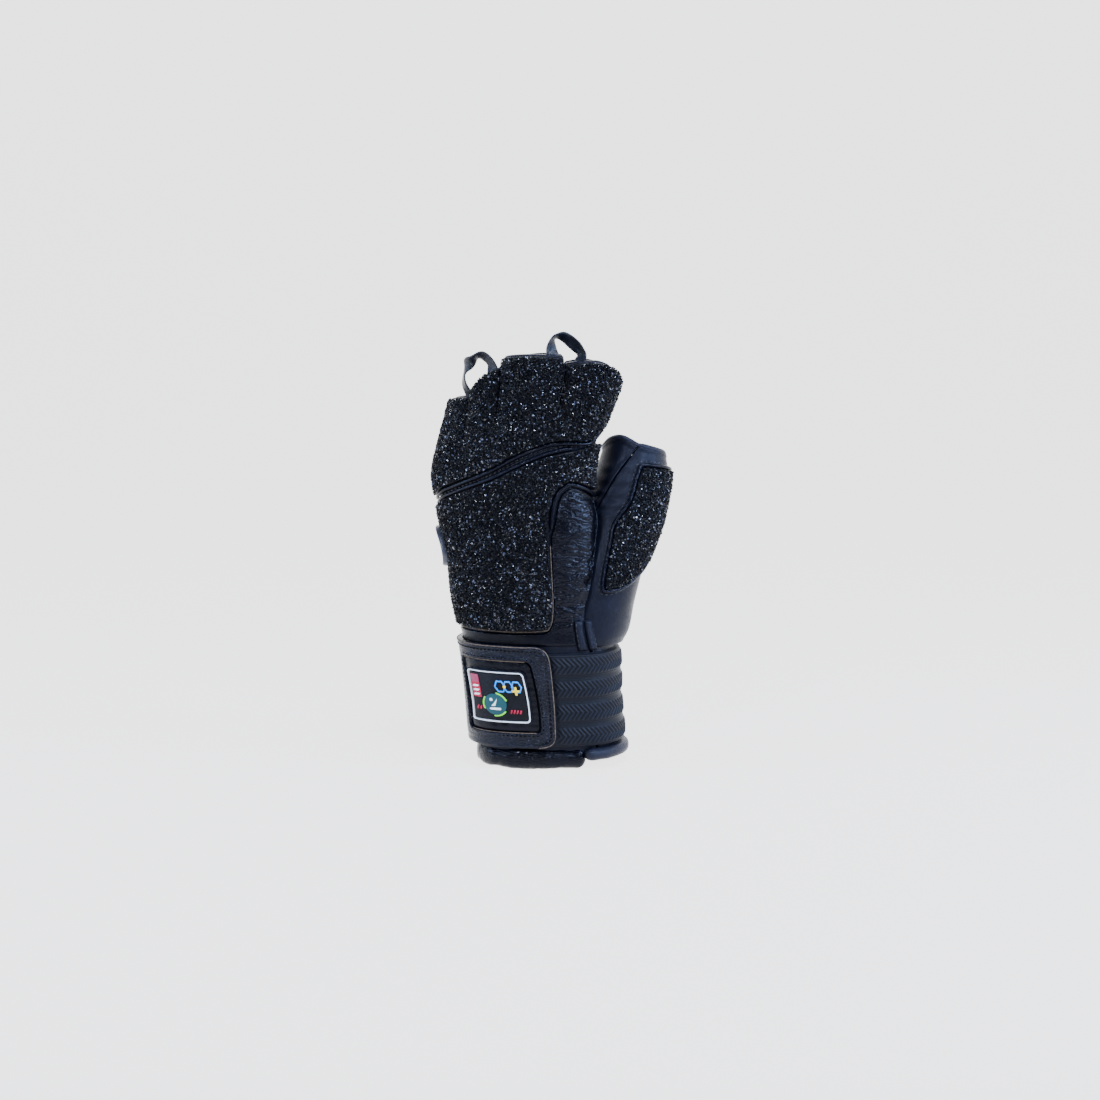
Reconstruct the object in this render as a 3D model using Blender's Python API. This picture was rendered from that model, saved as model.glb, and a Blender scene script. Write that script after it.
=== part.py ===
"""Left-hand shooting glove with short open fingers, modelled as worn and standing on its cuff.

The frame: the origin is the middle of the wrist opening at the cuff's lower rim, +Z runs up
through the fingers, the back of the hand faces -Y and the thumb points to +X. All lengths are
in metres.

The glove follows a hollow hand form. A point on it is given by a turn, a height and a depth.
The turn runs round the hand: -1 to 0 is the index finger's side, 0 to 1 the back of the hand
from index to little finger, 1 to 2 the little finger's side, and 2 to 3 the palm. The depth is
measured outwards from the hollow. The panels are flat patterns wrapped onto that form, as the
pieces of a real glove are cut flat and drawn over a last.
"""

import math
from collections import namedtuple

import bmesh
import bpy
from mathutils import Vector
from mathutils.geometry import delaunay_2d_cdt

# Overall sizes of the hollow hand form
GLOVE_HEIGHT = 0.2265
HAND_WIDTH = 0.100
HAND_DEPTH = 0.050
THUMB_WIDTH = 0.038
THUMB_DEPTH = 0.036

# Material thicknesses, and the gap between pieces that touch
LEATHER = 0.0030
GRIP = 0.0030
ELASTIC = 0.0020
FLAP = 0.0020
WINDOW = 0.0009
BADGE = 0.0012
BADGE_RAISE = 0.0005
FACING = 0.0012
FOURCHETTE = 0.0014
FOURCHETTE_INSET = 0.0012
RIBBON = 0.0010
CLEARANCE = 0.0005

# Cuff and strap
ROLL_HEIGHT = 0.0118
ROLL_THICKNESS = 0.0086
ROLL_LIFT = 0.0046
SHELL_BOTTOM = 0.0124
STRAP_BOTTOM = 0.0130
STRAP_WIDTH = 0.0520
STRAP_RIB_COUNT = 4
STRAP_RIB_HEIGHT = 0.0009
BADGE_CORNER = 0.0022
BADGE_BORDER = 0.0011
WINDOW_MARGIN = 0.0052

# Fingers, slit and small pieces
SLIT_GAP = 0.0016
VALLEY_DEPTH = 0.0034
RIM_STEP = 0.0012
PIPING_RADIUS = 0.0010
EMBLEM_RADIUS = 0.0112
EMBLEM_RIM = 0.0016
EMBLEM_THICKNESS = 0.0014
RIBBON_WIDTH = 0.0068

# Spacing of the points that shape the panels
TURN_STEP = 0.100
FINE_TURN_STEP = 0.050
WIDE_TURN_STEP = 0.200
LEVEL_STEP = 0.0120
RIB_STEP = 0.0065
PATTERN_SCALE = 0.062

# One row for each level of the hollow hand form. Height is a share of GLOVE_HEIGHT, the x columns
# are shares of HAND_WIDTH, and the y columns and radii are shares of HAND_DEPTH. The three points
# steer the line through the middle of the hand, from the index finger round to the little finger.
# The corner column squares off the little finger's side: 2 is round, more is squarer.
HandRow = namedtuple(
    "HandRow", "height index_x index_y bend_x bend_y little_x little_y index_r little_r corner"
)
HAND_ROWS = (
    HandRow(0.000, 0.120, 0.00, 0.000, -0.05, -0.120, 0.00, 0.450, 0.450, 2.4),
    HandRow(0.066, 0.130, 0.00, -0.005, -0.06, -0.140, 0.00, 0.460, 0.460, 2.5),
    HandRow(0.177, 0.105, 0.00, -0.020, -0.06, -0.155, 0.00, 0.470, 0.470, 2.6),
    HandRow(0.287, 0.090, -0.02, -0.040, -0.08, -0.180, 0.02, 0.470, 0.470, 2.6),
    HandRow(0.349, 0.070, -0.04, -0.060, -0.10, -0.220, 0.04, 0.440, 0.460, 2.5),
    HandRow(0.420, 0.060, -0.06, -0.080, -0.14, -0.270, 0.06, 0.400, 0.430, 2.3),
    HandRow(0.486, 0.060, -0.08, -0.100, -0.18, -0.310, 0.10, 0.370, 0.390, 2.1),
    HandRow(0.574, 0.070, -0.10, -0.140, -0.22, -0.380, 0.16, 0.330, 0.340, 2.0),
    HandRow(0.640, 0.060, -0.12, -0.170, -0.26, -0.430, 0.20, 0.300, 0.300, 2.0),
    HandRow(0.706, 0.050, -0.14, -0.200, -0.28, -0.465, 0.24, 0.280, 0.270, 2.0),
    HandRow(0.781, 0.085, -0.16, -0.220, -0.30, -0.440, 0.28, 0.260, 0.250, 2.0),
    HandRow(0.839, 0.130, -0.17, -0.230, -0.32, -0.410, 0.32, 0.250, 0.240, 2.0),
    HandRow(0.883, 0.175, -0.18, -0.240, -0.34, -0.390, 0.34, 0.240, 0.230, 2.0),
    HandRow(0.940, 0.215, -0.18, -0.250, -0.34, -0.355, 0.36, 0.240, 0.230, 2.0),
    HandRow(1.020, 0.215, -0.18, -0.250, -0.34, -0.330, 0.38, 0.240, 0.230, 2.0),
)

# One row for each level of the hollow thumb form, an oval section. Height is a share of
# GLOVE_HEIGHT, x a share of HAND_WIDTH, y a share of HAND_DEPTH, and the half widths and half
# depths are shares of THUMB_WIDTH and THUMB_DEPTH.
ThumbRow = namedtuple("ThumbRow", "height x y half_width half_depth")
THUMB_ROWS = (
    ThumbRow(0.240, 0.150, 0.00, 0.420, 0.430),
    ThumbRow(0.288, 0.180, -0.03, 0.455, 0.500),
    ThumbRow(0.305, 0.205, -0.04, 0.463, 0.515),
    ThumbRow(0.331, 0.226, -0.03, 0.480, 0.530),
    ThumbRow(0.397, 0.258, 0.00, 0.485, 0.550),
    ThumbRow(0.486, 0.310, 0.06, 0.485, 0.530),
    ThumbRow(0.574, 0.380, 0.13, 0.495, 0.490),
    ThumbRow(0.649, 0.420, 0.21, 0.500, 0.450),
    ThumbRow(0.706, 0.450, 0.27, 0.466, 0.415),
    ThumbRow(0.751, 0.465, 0.31, 0.400, 0.375),
    ThumbRow(0.830, 0.472, 0.34, 0.345, 0.345),
)

# A point of a flat pattern: its turn and its height as a share of GLOVE_HEIGHT
Mark = namedtuple("Mark", "turn height")

# One row for each finger stub: where it starts and ends round the hand, and the share of
# GLOVE_HEIGHT that its rim reaches at its start, middle and end.
Stub = namedtuple("Stub", "name start end start_rim middle_rim end_rim")
STUBS = (
    Stub("index", -0.500, 0.165, 0.915, 0.978, 0.980),
    Stub("middle", 0.165, 0.560, 0.998, 1.001, 0.996),
    Stub("ring", 0.560, 0.815, 0.974, 0.950, 0.908),
    Stub("little", 0.815, 1.500, 0.902, 0.890, 0.880),
)

# One row for each slit between two stubs: its turn and how far down it reaches.
Slit = namedtuple("Slit", "name turn crotch")
SLITS = (
    Slit("index_middle", 0.165, 0.872),
    Slit("middle_ring", 0.560, 0.855),
    Slit("ring_little", 0.815, 0.797),
)
VALLEY_REACH = 0.110
VALLEY_START = 0.700
VALLEY_FULL = 0.930


def reading(rows, column, height):
    """Value of one column of a table at a height, on a smooth curve through its rows."""
    marks = [row.height for row in rows]
    values = [getattr(row, column) for row in rows]
    height = min(max(height, marks[0]), marks[-1])
    last = len(rows) - 2
    index = 0
    while index < last and marks[index + 1] < height:
        index += 1

    def slope(position):
        low = max(position - 1, 0)
        high = min(position + 1, len(rows) - 1)
        return (values[high] - values[low]) / (marks[high] - marks[low])

    span = marks[index + 1] - marks[index]
    t = (height - marks[index]) / span
    start = values[index]
    end = values[index + 1]
    rise = slope(index) * span
    fall = slope(index + 1) * span
    return (
        start * (2 * t ** 3 - 3 * t ** 2 + 1)
        + rise * (t ** 3 - 2 * t ** 2 + t)
        + end * (3 * t ** 2 - 2 * t ** 3)
        + fall * (t ** 3 - t ** 2)
    )


def smooth_step(low, high, value):
    """0 below low, 1 above high and an even curve between."""
    t = min(max((value - low) / (high - low), 0.0), 1.0)
    return t * t * (3 - 2 * t)


def valley(share, height):
    """How far the form sinks between two fingers, at a share of the way across the hand."""
    reach = min(abs(share - slit.turn) for slit in SLITS) / VALLEY_REACH
    near = max(1.0 - reach, 0.0)
    return VALLEY_DEPTH * near ** 2 * smooth_step(VALLEY_START, VALLEY_FULL, height)


def hand_point(turn, height, depth):
    """Point of the hand form at a turn, a share of GLOVE_HEIGHT and a depth."""
    turn = (turn + 1) % 4 - 1
    if turn < 0:
        share = 0.0
        angle = -turn * math.pi
    elif turn <= 1:
        share = turn
        angle = 0.0
    elif turn < 2:
        share = 1.0
        angle = (turn - 1) * math.pi
    else:
        share = 3.0 - turn
        angle = math.pi
    names = ("index", "bend", "little")
    xs = [reading(HAND_ROWS, name + "_x", height) * HAND_WIDTH for name in names]
    ys = [reading(HAND_ROWS, name + "_y", height) * HAND_DEPTH for name in names]
    rest = 1 - share
    x = rest ** 2 * xs[0] + 2 * rest * share * xs[1] + share ** 2 * xs[2]
    y = rest ** 2 * ys[0] + 2 * rest * share * ys[1] + share ** 2 * ys[2]
    along = Vector((
        rest * (xs[1] - xs[0]) + share * (xs[2] - xs[1]),
        rest * (ys[1] - ys[0]) + share * (ys[2] - ys[1]),
    )).normalized()
    back = Vector((along.y, -along.x))
    if back.y > 0:
        back = -back
    end = -along if share == 0.0 else along
    corner = reading(HAND_ROWS, "corner", height) if 1 < turn < 2 else 2.0
    low = reading(HAND_ROWS, "index_r", height)
    high = reading(HAND_ROWS, "little_r", height)
    radius = (low + (high - low) * share) * HAND_DEPTH
    side = math.cos(angle)
    tip = math.sin(angle)
    reach = (back * side + end * tip) / (abs(side) ** corner + abs(tip) ** corner) ** (1 / corner)
    spread = corner - 1
    facing = back * math.copysign(abs(side) ** spread, side) + end * abs(tip) ** spread
    sunk = valley(share, height) if 0 <= turn <= 1 or turn >= 2 else 0.0
    on_form = Vector((x, y)) + reach * radius + facing.normalized() * (depth - sunk)
    return Vector((on_form.x, on_form.y, height * GLOVE_HEIGHT))


def thumb_point(turn, height, depth):
    """Point of the thumb form: turn 0 faces the viewer, 1 the outer side, 2 back and 3 inward."""
    angle = turn * math.pi / 2
    half_width = reading(THUMB_ROWS, "half_width", height) * THUMB_WIDTH
    half_depth = reading(THUMB_ROWS, "half_depth", height) * THUMB_DEPTH
    centre = Vector((
        reading(THUMB_ROWS, "x", height) * HAND_WIDTH,
        reading(THUMB_ROWS, "y", height) * HAND_DEPTH,
        height * GLOVE_HEIGHT,
    ))
    on_oval = Vector((half_width * math.sin(angle), -half_depth * math.cos(angle), 0))
    outward = Vector((math.sin(angle) / half_width, -math.cos(angle) / half_depth, 0))
    return centre + on_oval + outward.normalized() * depth


def turn_for(length, turn, height, depth, point):
    """How much turn covers a real length at one place of a form."""
    step = 0.01
    near = point(turn - step, height, depth)
    far = point(turn + step, height, depth)
    return length * 2 * step / (far - near).length


def shares(rows):
    """The rows of a pattern as plain pairs."""
    return [(row[0], row[1]) for row in rows]


def spline(pairs, steps=4):
    """A smooth run of points through the pairs."""
    points = []
    last = len(pairs) - 1
    for index in range(last):
        before = pairs[max(index - 1, 0)]
        start = pairs[index]
        end = pairs[index + 1]
        after = pairs[min(index + 2, last)]
        for step in range(steps):
            t = step / steps
            points.append(tuple(
                0.5 * (
                    2 * b
                    + (c - a) * t
                    + (2 * a - 5 * b + 4 * c - d) * t ** 2
                    + (3 * b - a - 3 * c + d) * t ** 3
                )
                for a, b, c, d in zip(before, start, end, after)
            ))
    points.append(tuple(pairs[-1]))
    return points


def rounded_patch(centre, half_width, half_height, radius, depth, point, steps=4):
    """Outline of a rectangle with round corners, laid on a form round a (turn, height) centre."""
    pairs = []
    for quarter in range(4):
        start = quarter * math.pi / 2
        out_x = 1 if quarter in (0, 3) else -1
        out_z = 1 if quarter in (0, 1) else -1
        for step in range(steps + 1):
            angle = start + step * math.pi / 2 / steps
            across = out_x * (half_width - radius) + radius * math.cos(angle)
            up = out_z * (half_height - radius) + radius * math.sin(angle)
            height = centre[1] + up / GLOVE_HEIGHT
            turn = centre[0]
            for _ in range(6):
                turn_step = turn_for(across / 6, turn, height, depth, point)
                turn -= turn_step
            pairs.append((turn, height))
    return pairs


def signed_area(polygon):
    following = polygon[1:] + polygon[:1]
    return sum(a[0] * b[1] - b[0] * a[1] for a, b in zip(polygon, following)) / 2


def inside(polygon, x, y):
    """Whether a point of the pattern lies inside an outline."""
    result = False
    for a, b in zip(polygon, polygon[1:] + polygon[:1]):
        if (a[1] > y) != (b[1] > y):
            if x < (b[0] - a[0]) * (y - a[1]) / (b[1] - a[1]) + a[0]:
                result = not result
    return result


def edge_distance(polygon, x, y):
    """Distance from a point to the nearest edge of an outline."""
    nearest = math.inf
    for a, b in zip(polygon, polygon[1:] + polygon[:1]):
        run = (b[0] - a[0], b[1] - a[1])
        length = run[0] ** 2 + run[1] ** 2
        t = ((x - a[0]) * run[0] + (y - a[1]) * run[1]) / length if length else 0.0
        t = min(max(t, 0.0), 1.0)
        nearest = min(nearest, math.hypot(a[0] + t * run[0] - x, a[1] + t * run[1] - y))
    return nearest


def split_at_grid(polygon, turn_step, level_step):
    """The outline with a point added wherever it crosses a line of the pattern's grid."""
    result = []
    for a, b in zip(polygon, polygon[1:] + polygon[:1]):
        result.append(a)
        length = math.hypot(b[0] - a[0], b[1] - a[1])
        cuts = []
        for axis, step in ((0, turn_step), (1, level_step)):
            low, high = sorted((a[axis], b[axis]))
            if high - low < 1e-9:
                continue
            line = math.ceil(low / step) * step
            while line < high:
                cuts.append((line - a[axis]) / (b[axis] - a[axis]))
                line += step
        margin = min(0.0009 / length, 0.5) if length else 1.0
        kept = [0.0]
        for cut in sorted(cuts):
            if cut - kept[-1] > margin and cut < 1 - margin:
                kept.append(cut)
        result += [
            (a[0] + (b[0] - a[0]) * cut, a[1] + (b[1] - a[1]) * cut) for cut in kept[1:]
        ]
    return result


def make_object(name, mesh_data, material):
    """New object with its own material in the glove's collection, from (vertices, faces)."""
    vertices, faces = mesh_data
    build = bmesh.new()
    made = [build.verts.new(vertex) for vertex in vertices]
    for face in faces:
        build.faces.new([made[index] for index in face])
    bmesh.ops.recalc_face_normals(build, faces=build.faces)
    mesh = bpy.data.meshes.new(name)
    build.to_mesh(mesh)
    build.free()
    piece = bpy.data.objects.new(name, mesh)
    glove.objects.link(piece)
    mesh.materials.append(material)
    return piece


def slab(
    name,
    outline,
    point,
    inner,
    outer,
    material,
    holes=(),
    turn_step=TURN_STEP,
    level_step=LEVEL_STEP,
):
    """A flat pattern wrapped onto a form, solid between two depths.

    The outline and holes are lists of (turn, height) pairs. A depth is a number, or a function
    of turn and height.
    """
    grid_step = turn_step * PATTERN_SCALE

    def flatten(pairs):
        flat = [(turn * PATTERN_SCALE, height * GLOVE_HEIGHT) for turn, height in pairs]
        return split_at_grid(flat, grid_step, level_step)

    border = flatten(outline)
    cut_outs = [flatten(hole) for hole in holes]
    loops = [border] + cut_outs
    points = []
    edges = []
    for loop in loops:
        first = len(points)
        points += loop
        edges += [(first + i, first + (i + 1) % len(loop)) for i in range(len(loop))]
    low_x = math.floor(min(x for x, _ in border) / grid_step)
    high_x = math.ceil(max(x for x, _ in border) / grid_step)
    low_y = math.floor(min(y for _, y in border) / level_step)
    high_y = math.ceil(max(y for _, y in border) / level_step)
    clear = 0.0010
    for column in range(low_x, high_x + 1):
        for level in range(low_y, high_y + 1):
            x = column * grid_step
            y = level * level_step
            if not inside(border, x, y) or any(inside(hole, x, y) for hole in cut_outs):
                continue
            if min(edge_distance(loop, x, y) for loop in loops) > clear:
                points.append((x, y))
    flat = [Vector(pair) for pair in points]
    flat, _, triangles, *_ = delaunay_2d_cdt(flat, edges, [], 0, 1e-9)
    kept = []
    for triangle in triangles:
        x = sum(flat[i].x for i in triangle) / 3
        y = sum(flat[i].y for i in triangle) / 3
        if inside(border, x, y) and not any(inside(hole, x, y) for hole in cut_outs):
            kept.append(triangle)
    used = sorted({index for triangle in kept for index in triangle})
    renumber = {index: place for place, index in enumerate(used)}
    kept = [[renumber[index] for index in triangle] for triangle in kept]
    vertices = []
    for depth in (inner, outer):
        for index in used:
            turn = flat[index].x / PATTERN_SCALE
            height = flat[index].y / GLOVE_HEIGHT
            value = depth(turn, height) if callable(depth) else depth
            vertices.append(point(turn, height, value))
    count = len(used)
    faces = [list(reversed(triangle)) for triangle in kept]
    faces += [[index + count for index in triangle] for triangle in kept]
    directed = {
        (triangle[i], triangle[(i + 1) % 3]) for triangle in kept for i in range(3)
    }
    for a, b in directed:
        if (b, a) not in directed:
            faces.append([a, b, b + count, a + count])
    return make_object(name, (vertices, faces), material)


def tube(name, rings, material):
    """Closed tube through rings of points, with a flat end at both ends."""
    sides = len(rings[0])
    vertices = [vertex for ring in rings for vertex in ring]
    faces = [list(range(sides)), list(range(len(vertices) - sides, len(vertices)))]
    for station in range(len(rings) - 1):
        first = station * sides
        for side in range(sides):
            following = (side + 1) % sides
            faces.append([
                first + side,
                first + following,
                first + sides + following,
                first + sides + side,
            ])
    return make_object(name, (vertices, faces), material)


def cord(name, pairs, point, middle, half_height, half_thickness, material, sides=5, taper=2):
    """Rounded cord lying along (turn, height) pairs of a form, tapered at its ends.

    Its half height is one number, or one for each pair.
    """
    path = [point(turn, height, middle) for turn, height in pairs]
    halves = half_height if isinstance(half_height, list) else [half_height] * len(pairs)
    rings = []
    last = len(path) - 1
    for index, centre in enumerate(path):
        along = (path[min(index + 1, last)] - path[max(index - 1, 0)]).normalized()
        turn, height = pairs[index]
        outward = (point(turn, height, middle + 0.001) - centre).normalized()
        outward = (outward - along * outward.dot(along)).normalized()
        sideways = along.cross(outward)
        share = min(1.0, (min(index, last - index) + 0.6) / taper)
        rings.append([
            centre
            + sideways * halves[index] * share * math.cos(2 * math.pi * side / sides)
            + outward * half_thickness * share * math.sin(2 * math.pi * side / sides)
            for side in range(sides)
        ])
    return tube(name, rings, material)


def form_solid(name, point, depth, low, high, levels, turns, material):
    """A whole form as one solid, used only to cut other pieces."""
    rings = []
    for level in range(levels + 1):
        height = low + (high - low) * level / levels
        rings.append([point(4 * turn / turns - 1, height, depth) for turn in range(turns)])
    solid = tube(name, rings, material)
    glove.objects.unlink(solid)
    cutters.objects.link(solid)
    solid.hide_render = True
    solid.display_type = "WIRE"
    return solid


def cut(piece, cutter):
    """Cut one piece by a form."""
    modifier = piece.modifiers.new("cut", "BOOLEAN")
    modifier.operation = "DIFFERENCE"
    modifier.solver = "EXACT"
    modifier.object = cutter


def plain_material(name, colour, roughness):
    """A plain material whose name says what it is."""
    material = bpy.data.materials.new(name)
    material.use_nodes = True
    shader = material.node_tree.nodes["Principled BSDF"]
    shader.inputs["Base Color"].default_value = (*colour, 1.0)
    shader.inputs["Roughness"].default_value = roughness
    return material


def rim(turn):
    """Share of GLOVE_HEIGHT that the stubs' rim reaches at a turn."""
    share = turn if turn <= 1.5 else 3 - turn
    for stub in STUBS:
        if share <= stub.end or stub is STUBS[-1]:
            t = min(max((share - stub.start) / (stub.end - stub.start), 0.0), 1.0)
            left = stub.start_rim * (1 - t) * (1 - 2 * t)
            middle = stub.middle_rim * 4 * t * (1 - t)
            return left + middle + stub.end_rim * t * (2 * t - 1)
    return 1.0


def stub_edge(start, end, drop, widen):
    """Marks along the stubs' rims between two turns, going down into each slit on the way.

    The edge lies below the rim by drop and clears each slit's middle by half of SLIT_GAP + widen.
    """
    direction = 1 if end > start else -1
    steps = max(int(abs(end - start) / 0.05), 1)
    turns = [start + (end - start) * step / steps for step in range(steps + 1)]
    lower = drop / GLOVE_HEIGHT
    pairs = []
    slits = [(slit.turn, slit.crotch) for slit in SLITS]
    slits += [(3 - slit.turn, slit.crotch) for slit in SLITS]
    bands = []
    for middle, crotch in slits:
        if not min(start, end) < middle < max(start, end):
            continue
        half = turn_for(SLIT_GAP / 2 + widen, middle, 0.95, 0, hand_point)
        near = middle - direction * half
        far = middle + direction * half
        bottom = crotch - widen / GLOVE_HEIGHT
        bands.append((
            middle,
            half,
            [
                (near, rim(near) - lower),
                (near, bottom + 0.004),
                (near + direction * half * 0.5, bottom),
                (far - direction * half * 0.5, bottom),
                (far, bottom + 0.004),
                (far, rim(far) - lower),
            ],
        ))
    bands.sort(key=lambda band: band[0] * direction)
    for turn in turns:
        while bands and (turn - bands[0][0]) * direction > 0:
            pairs += bands.pop(0)[2]
        near_slit = any(abs(turn - middle) < 0.03 + half for middle, half, _ in bands)
        behind = any(
            abs(turn - middle) < 0.03 + turn_for(SLIT_GAP / 2 + widen, middle, 0.95, 0, hand_point)
            for middle, _ in slits
        )
        if not near_slit and not behind:
            pairs.append((turn, rim(turn) - lower))
    return pairs


def inset(pairs, distance, point, depth):
    """A closed outline drawn inwards by a real distance, measured on a form."""
    sense = 1 if signed_area(pairs) > 0 else -1
    result = []
    count = len(pairs)
    for index, (turn, height) in enumerate(pairs):
        per_turn = 1 / turn_for(1.0, turn, height, depth, point)
        before = pairs[index - 1]
        after = pairs[(index + 1) % count]
        run = Vector(((after[0] - before[0]) * per_turn, (after[1] - before[1]) * GLOVE_HEIGHT))
        run.normalize()
        result.append((
            turn - sense * run.y * distance / per_turn,
            height + sense * run.x * distance / GLOVE_HEIGHT,
        ))
    return result


def shifted(pairs, turn=0.0, height=0.0):
    return [(pair[0] + turn, pair[1] + height) for pair in pairs]


def fourchette(slit, material):
    """Leather folded down between two stubs: two walls that meet in the crotch of the slit."""
    half = SLIT_GAP / 2
    top = min(rim(slit.turn - 0.02), rim(slit.turn + 0.02)) - 0.040
    floor = slit.crotch - 0.002
    rows = 3
    wall = [floor + (top - floor) * row / rows for row in range(rows + 1)]
    fold = FOURCHETTE / GLOVE_HEIGHT
    profile = [(half + FOURCHETTE, height) for height in wall]
    profile = [(-across, height) for across, height in reversed(profile)] + [
        (-half, floor - fold * 0.7),
        (half, floor - fold * 0.7),
    ] + profile + [(half, height) for height in reversed(wall)]
    profile += [(-half, height) for height in wall]
    profile[len(wall)] = (-half * 0.9, floor - fold)
    profile[len(wall) + 1] = (half * 0.9, floor - fold)
    columns = 3
    rings = []
    for column in range(columns + 1):
        share = column / columns
        ring = []
        for across, height in profile:
            offset = turn_for(1.0, slit.turn, height, 0, hand_point) * across
            front = hand_point(slit.turn + offset, height, -FOURCHETTE_INSET)
            back = hand_point(3 - slit.turn - offset, height, -FOURCHETTE_INSET)
            ring.append(front.lerp(back, share))
        rings.append(ring)
    return tube("fourchette_" + slit.name, rings, material)


def ribbon(name, rows, material):
    """Flat ribbon along a table of rows. Lean turns its width up from X, yaw turns it to Y."""
    path = spline([(row.x, row.y, row.height, row.lean, row.yaw) for row in rows], 2)
    rings = []
    last = len(path) - 1

    def place(step):
        return Vector((step[0] * HAND_WIDTH, step[1] * HAND_DEPTH, step[2] * GLOVE_HEIGHT))

    for index, step in enumerate(path):
        centre = place(step)
        along = (place(path[min(index + 1, last)]) - place(path[max(index - 1, 0)])).normalized()
        lean = math.radians(step[3])
        yaw = math.radians(step[4])
        across = Vector((math.cos(lean), 0, math.sin(lean))) * math.cos(yaw)
        across += Vector((0, math.sin(yaw), 0))
        across = (across - along * across.dot(along)).normalized()
        through = along.cross(across)
        rings.append([
            centre + across * RIBBON_WIDTH / 2 * a + through * RIBBON / 2 * b
            for a, b in ((1, 1), (-1, 1), (-1, -1), (1, -1))
        ])
    return tube(name, rings, material)


# Patterns of the panels, as marks of turn and height
SEAM_BACK_PALM = (
    Mark(-0.1000, 0.0547),
    Mark(-0.1000, 0.200),
    Mark(-0.1000, 0.366),
    Mark(-0.1350, 0.424),
    Mark(-0.1800, 0.477),
    Mark(-0.2450, 0.564),
    Mark(-0.3100, 0.607),
    Mark(-0.4200, 0.650),
    Mark(-0.5000, 0.720),
    Mark(-0.5000, 0.900),
)
ULNAR_SEAM = 1.500
SLIT_UPPER = (
    Mark(1.400, 0.640),
    Mark(1.244, 0.646),
    Mark(1.030, 0.668),
    Mark(0.828, 0.691),
    Mark(0.579, 0.723),
    Mark(0.371, 0.760),
    Mark(0.229, 0.780),
    Mark(0.142, 0.789),
    Mark(0.047, 0.791),
    Mark(-0.080, 0.789),
    Mark(-0.166, 0.790),
    Mark(-0.256, 0.801),
    Mark(-0.351, 0.817),
    Mark(-0.453, 0.832),
)
SLIT_LOWER = (
    Mark(1.400, 0.628),
    Mark(1.246, 0.633),
    Mark(1.030, 0.654),
    Mark(0.828, 0.677),
    Mark(0.580, 0.705),
    Mark(0.367, 0.738),
    Mark(0.223, 0.760),
    Mark(0.085, 0.774),
    Mark(0.000, 0.779),
)
PIPING_SHIFT = 0.0063
PAD_HAND_RIGHT = (
    Mark(-0.100, 0.778),
    Mark(-0.250, 0.786),
    Mark(-0.380, 0.786),
    Mark(-0.430, 0.770),
    Mark(-0.440, 0.720),
    Mark(-0.440, 0.680),
)
PAD_HAND_ARCH = (
    Mark(-0.380, 0.672),
    Mark(-0.206, 0.684),
    Mark(-0.051, 0.699),
    Mark(0.020, 0.697),
    Mark(0.092, 0.681),
    Mark(0.145, 0.654),
    Mark(0.182, 0.620),
    Mark(0.196, 0.590),
)
PAD_HAND_LOWER = (
    Mark(0.202, 0.549),
    Mark(0.210, 0.482),
    Mark(0.219, 0.415),
    Mark(0.244, 0.371),
    Mark(0.290, 0.352),
    Mark(0.353, 0.345),
    Mark(0.735, 0.341),
    Mark(1.106, 0.342),
    Mark(1.420, 0.345),
)
WEB_ARCH = (
    Mark(-0.330, 0.658),
    Mark(-0.206, 0.677),
    Mark(-0.051, 0.692),
    Mark(0.013, 0.690),
    Mark(0.082, 0.674),
    Mark(0.130, 0.648),
    Mark(0.161, 0.615),
    Mark(0.176, 0.585),
)
WEB_RIGHT = (
    Mark(-0.020, 0.375),
    Mark(-0.060, 0.378),
    Mark(-0.115, 0.424),
    Mark(-0.162, 0.477),
    Mark(-0.225, 0.564),
    Mark(-0.285, 0.607),
    Mark(-0.340, 0.632),
)
THUMB_RIM = (
    Mark(-2.000, 0.768),
    Mark(-1.500, 0.772),
    Mark(-1.000, 0.770),
    Mark(-0.600, 0.790),
    Mark(-0.300, 0.794),
    Mark(0.000, 0.780),
    Mark(0.360, 0.768),
    Mark(0.800, 0.756),
    Mark(1.100, 0.748),
    Mark(1.500, 0.752),
    Mark(2.000, 0.768),
)
THUMB_SEAM = (
    Mark(0.076, 0.778),
    Mark(-0.080, 0.750),
    Mark(-0.221, 0.720),
    Mark(-0.340, 0.682),
    Mark(-0.429, 0.646),
    Mark(-0.560, 0.600),
    Mark(-0.750, 0.550),
    Mark(-0.900, 0.480),
    Mark(-0.900, 0.297),
)
THUMB_PAD = (
    Mark(0.110, 0.724),
    Mark(0.170, 0.731),
    Mark(0.450, 0.727),
    Mark(0.718, 0.721),
    Mark(1.000, 0.712),
    Mark(1.200, 0.700),
    Mark(1.260, 0.670),
    Mark(1.280, 0.600),
    Mark(1.240, 0.540),
    Mark(1.100, 0.512),
    Mark(0.800, 0.485),
    Mark(0.560, 0.463),
    Mark(0.439, 0.450),
    Mark(0.270, 0.438),
    Mark(0.080, 0.434),
    Mark(0.010, 0.442),
    Mark(-0.020, 0.470),
    Mark(-0.050, 0.510),
    Mark(-0.092, 0.549),
    Mark(-0.120, 0.580),
    Mark(-0.086, 0.603),
    Mark(0.023, 0.636),
    Mark(0.063, 0.660),
    Mark(0.080, 0.700),
)

# Clear the file and make the collections
for old in list(bpy.data.objects):
    bpy.data.objects.remove(old)
glove = bpy.data.collections.new("shooting_glove")
cutters = bpy.data.collections.new("cutters")
bpy.context.scene.collection.children.link(glove)
bpy.context.scene.collection.children.link(cutters)

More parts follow.
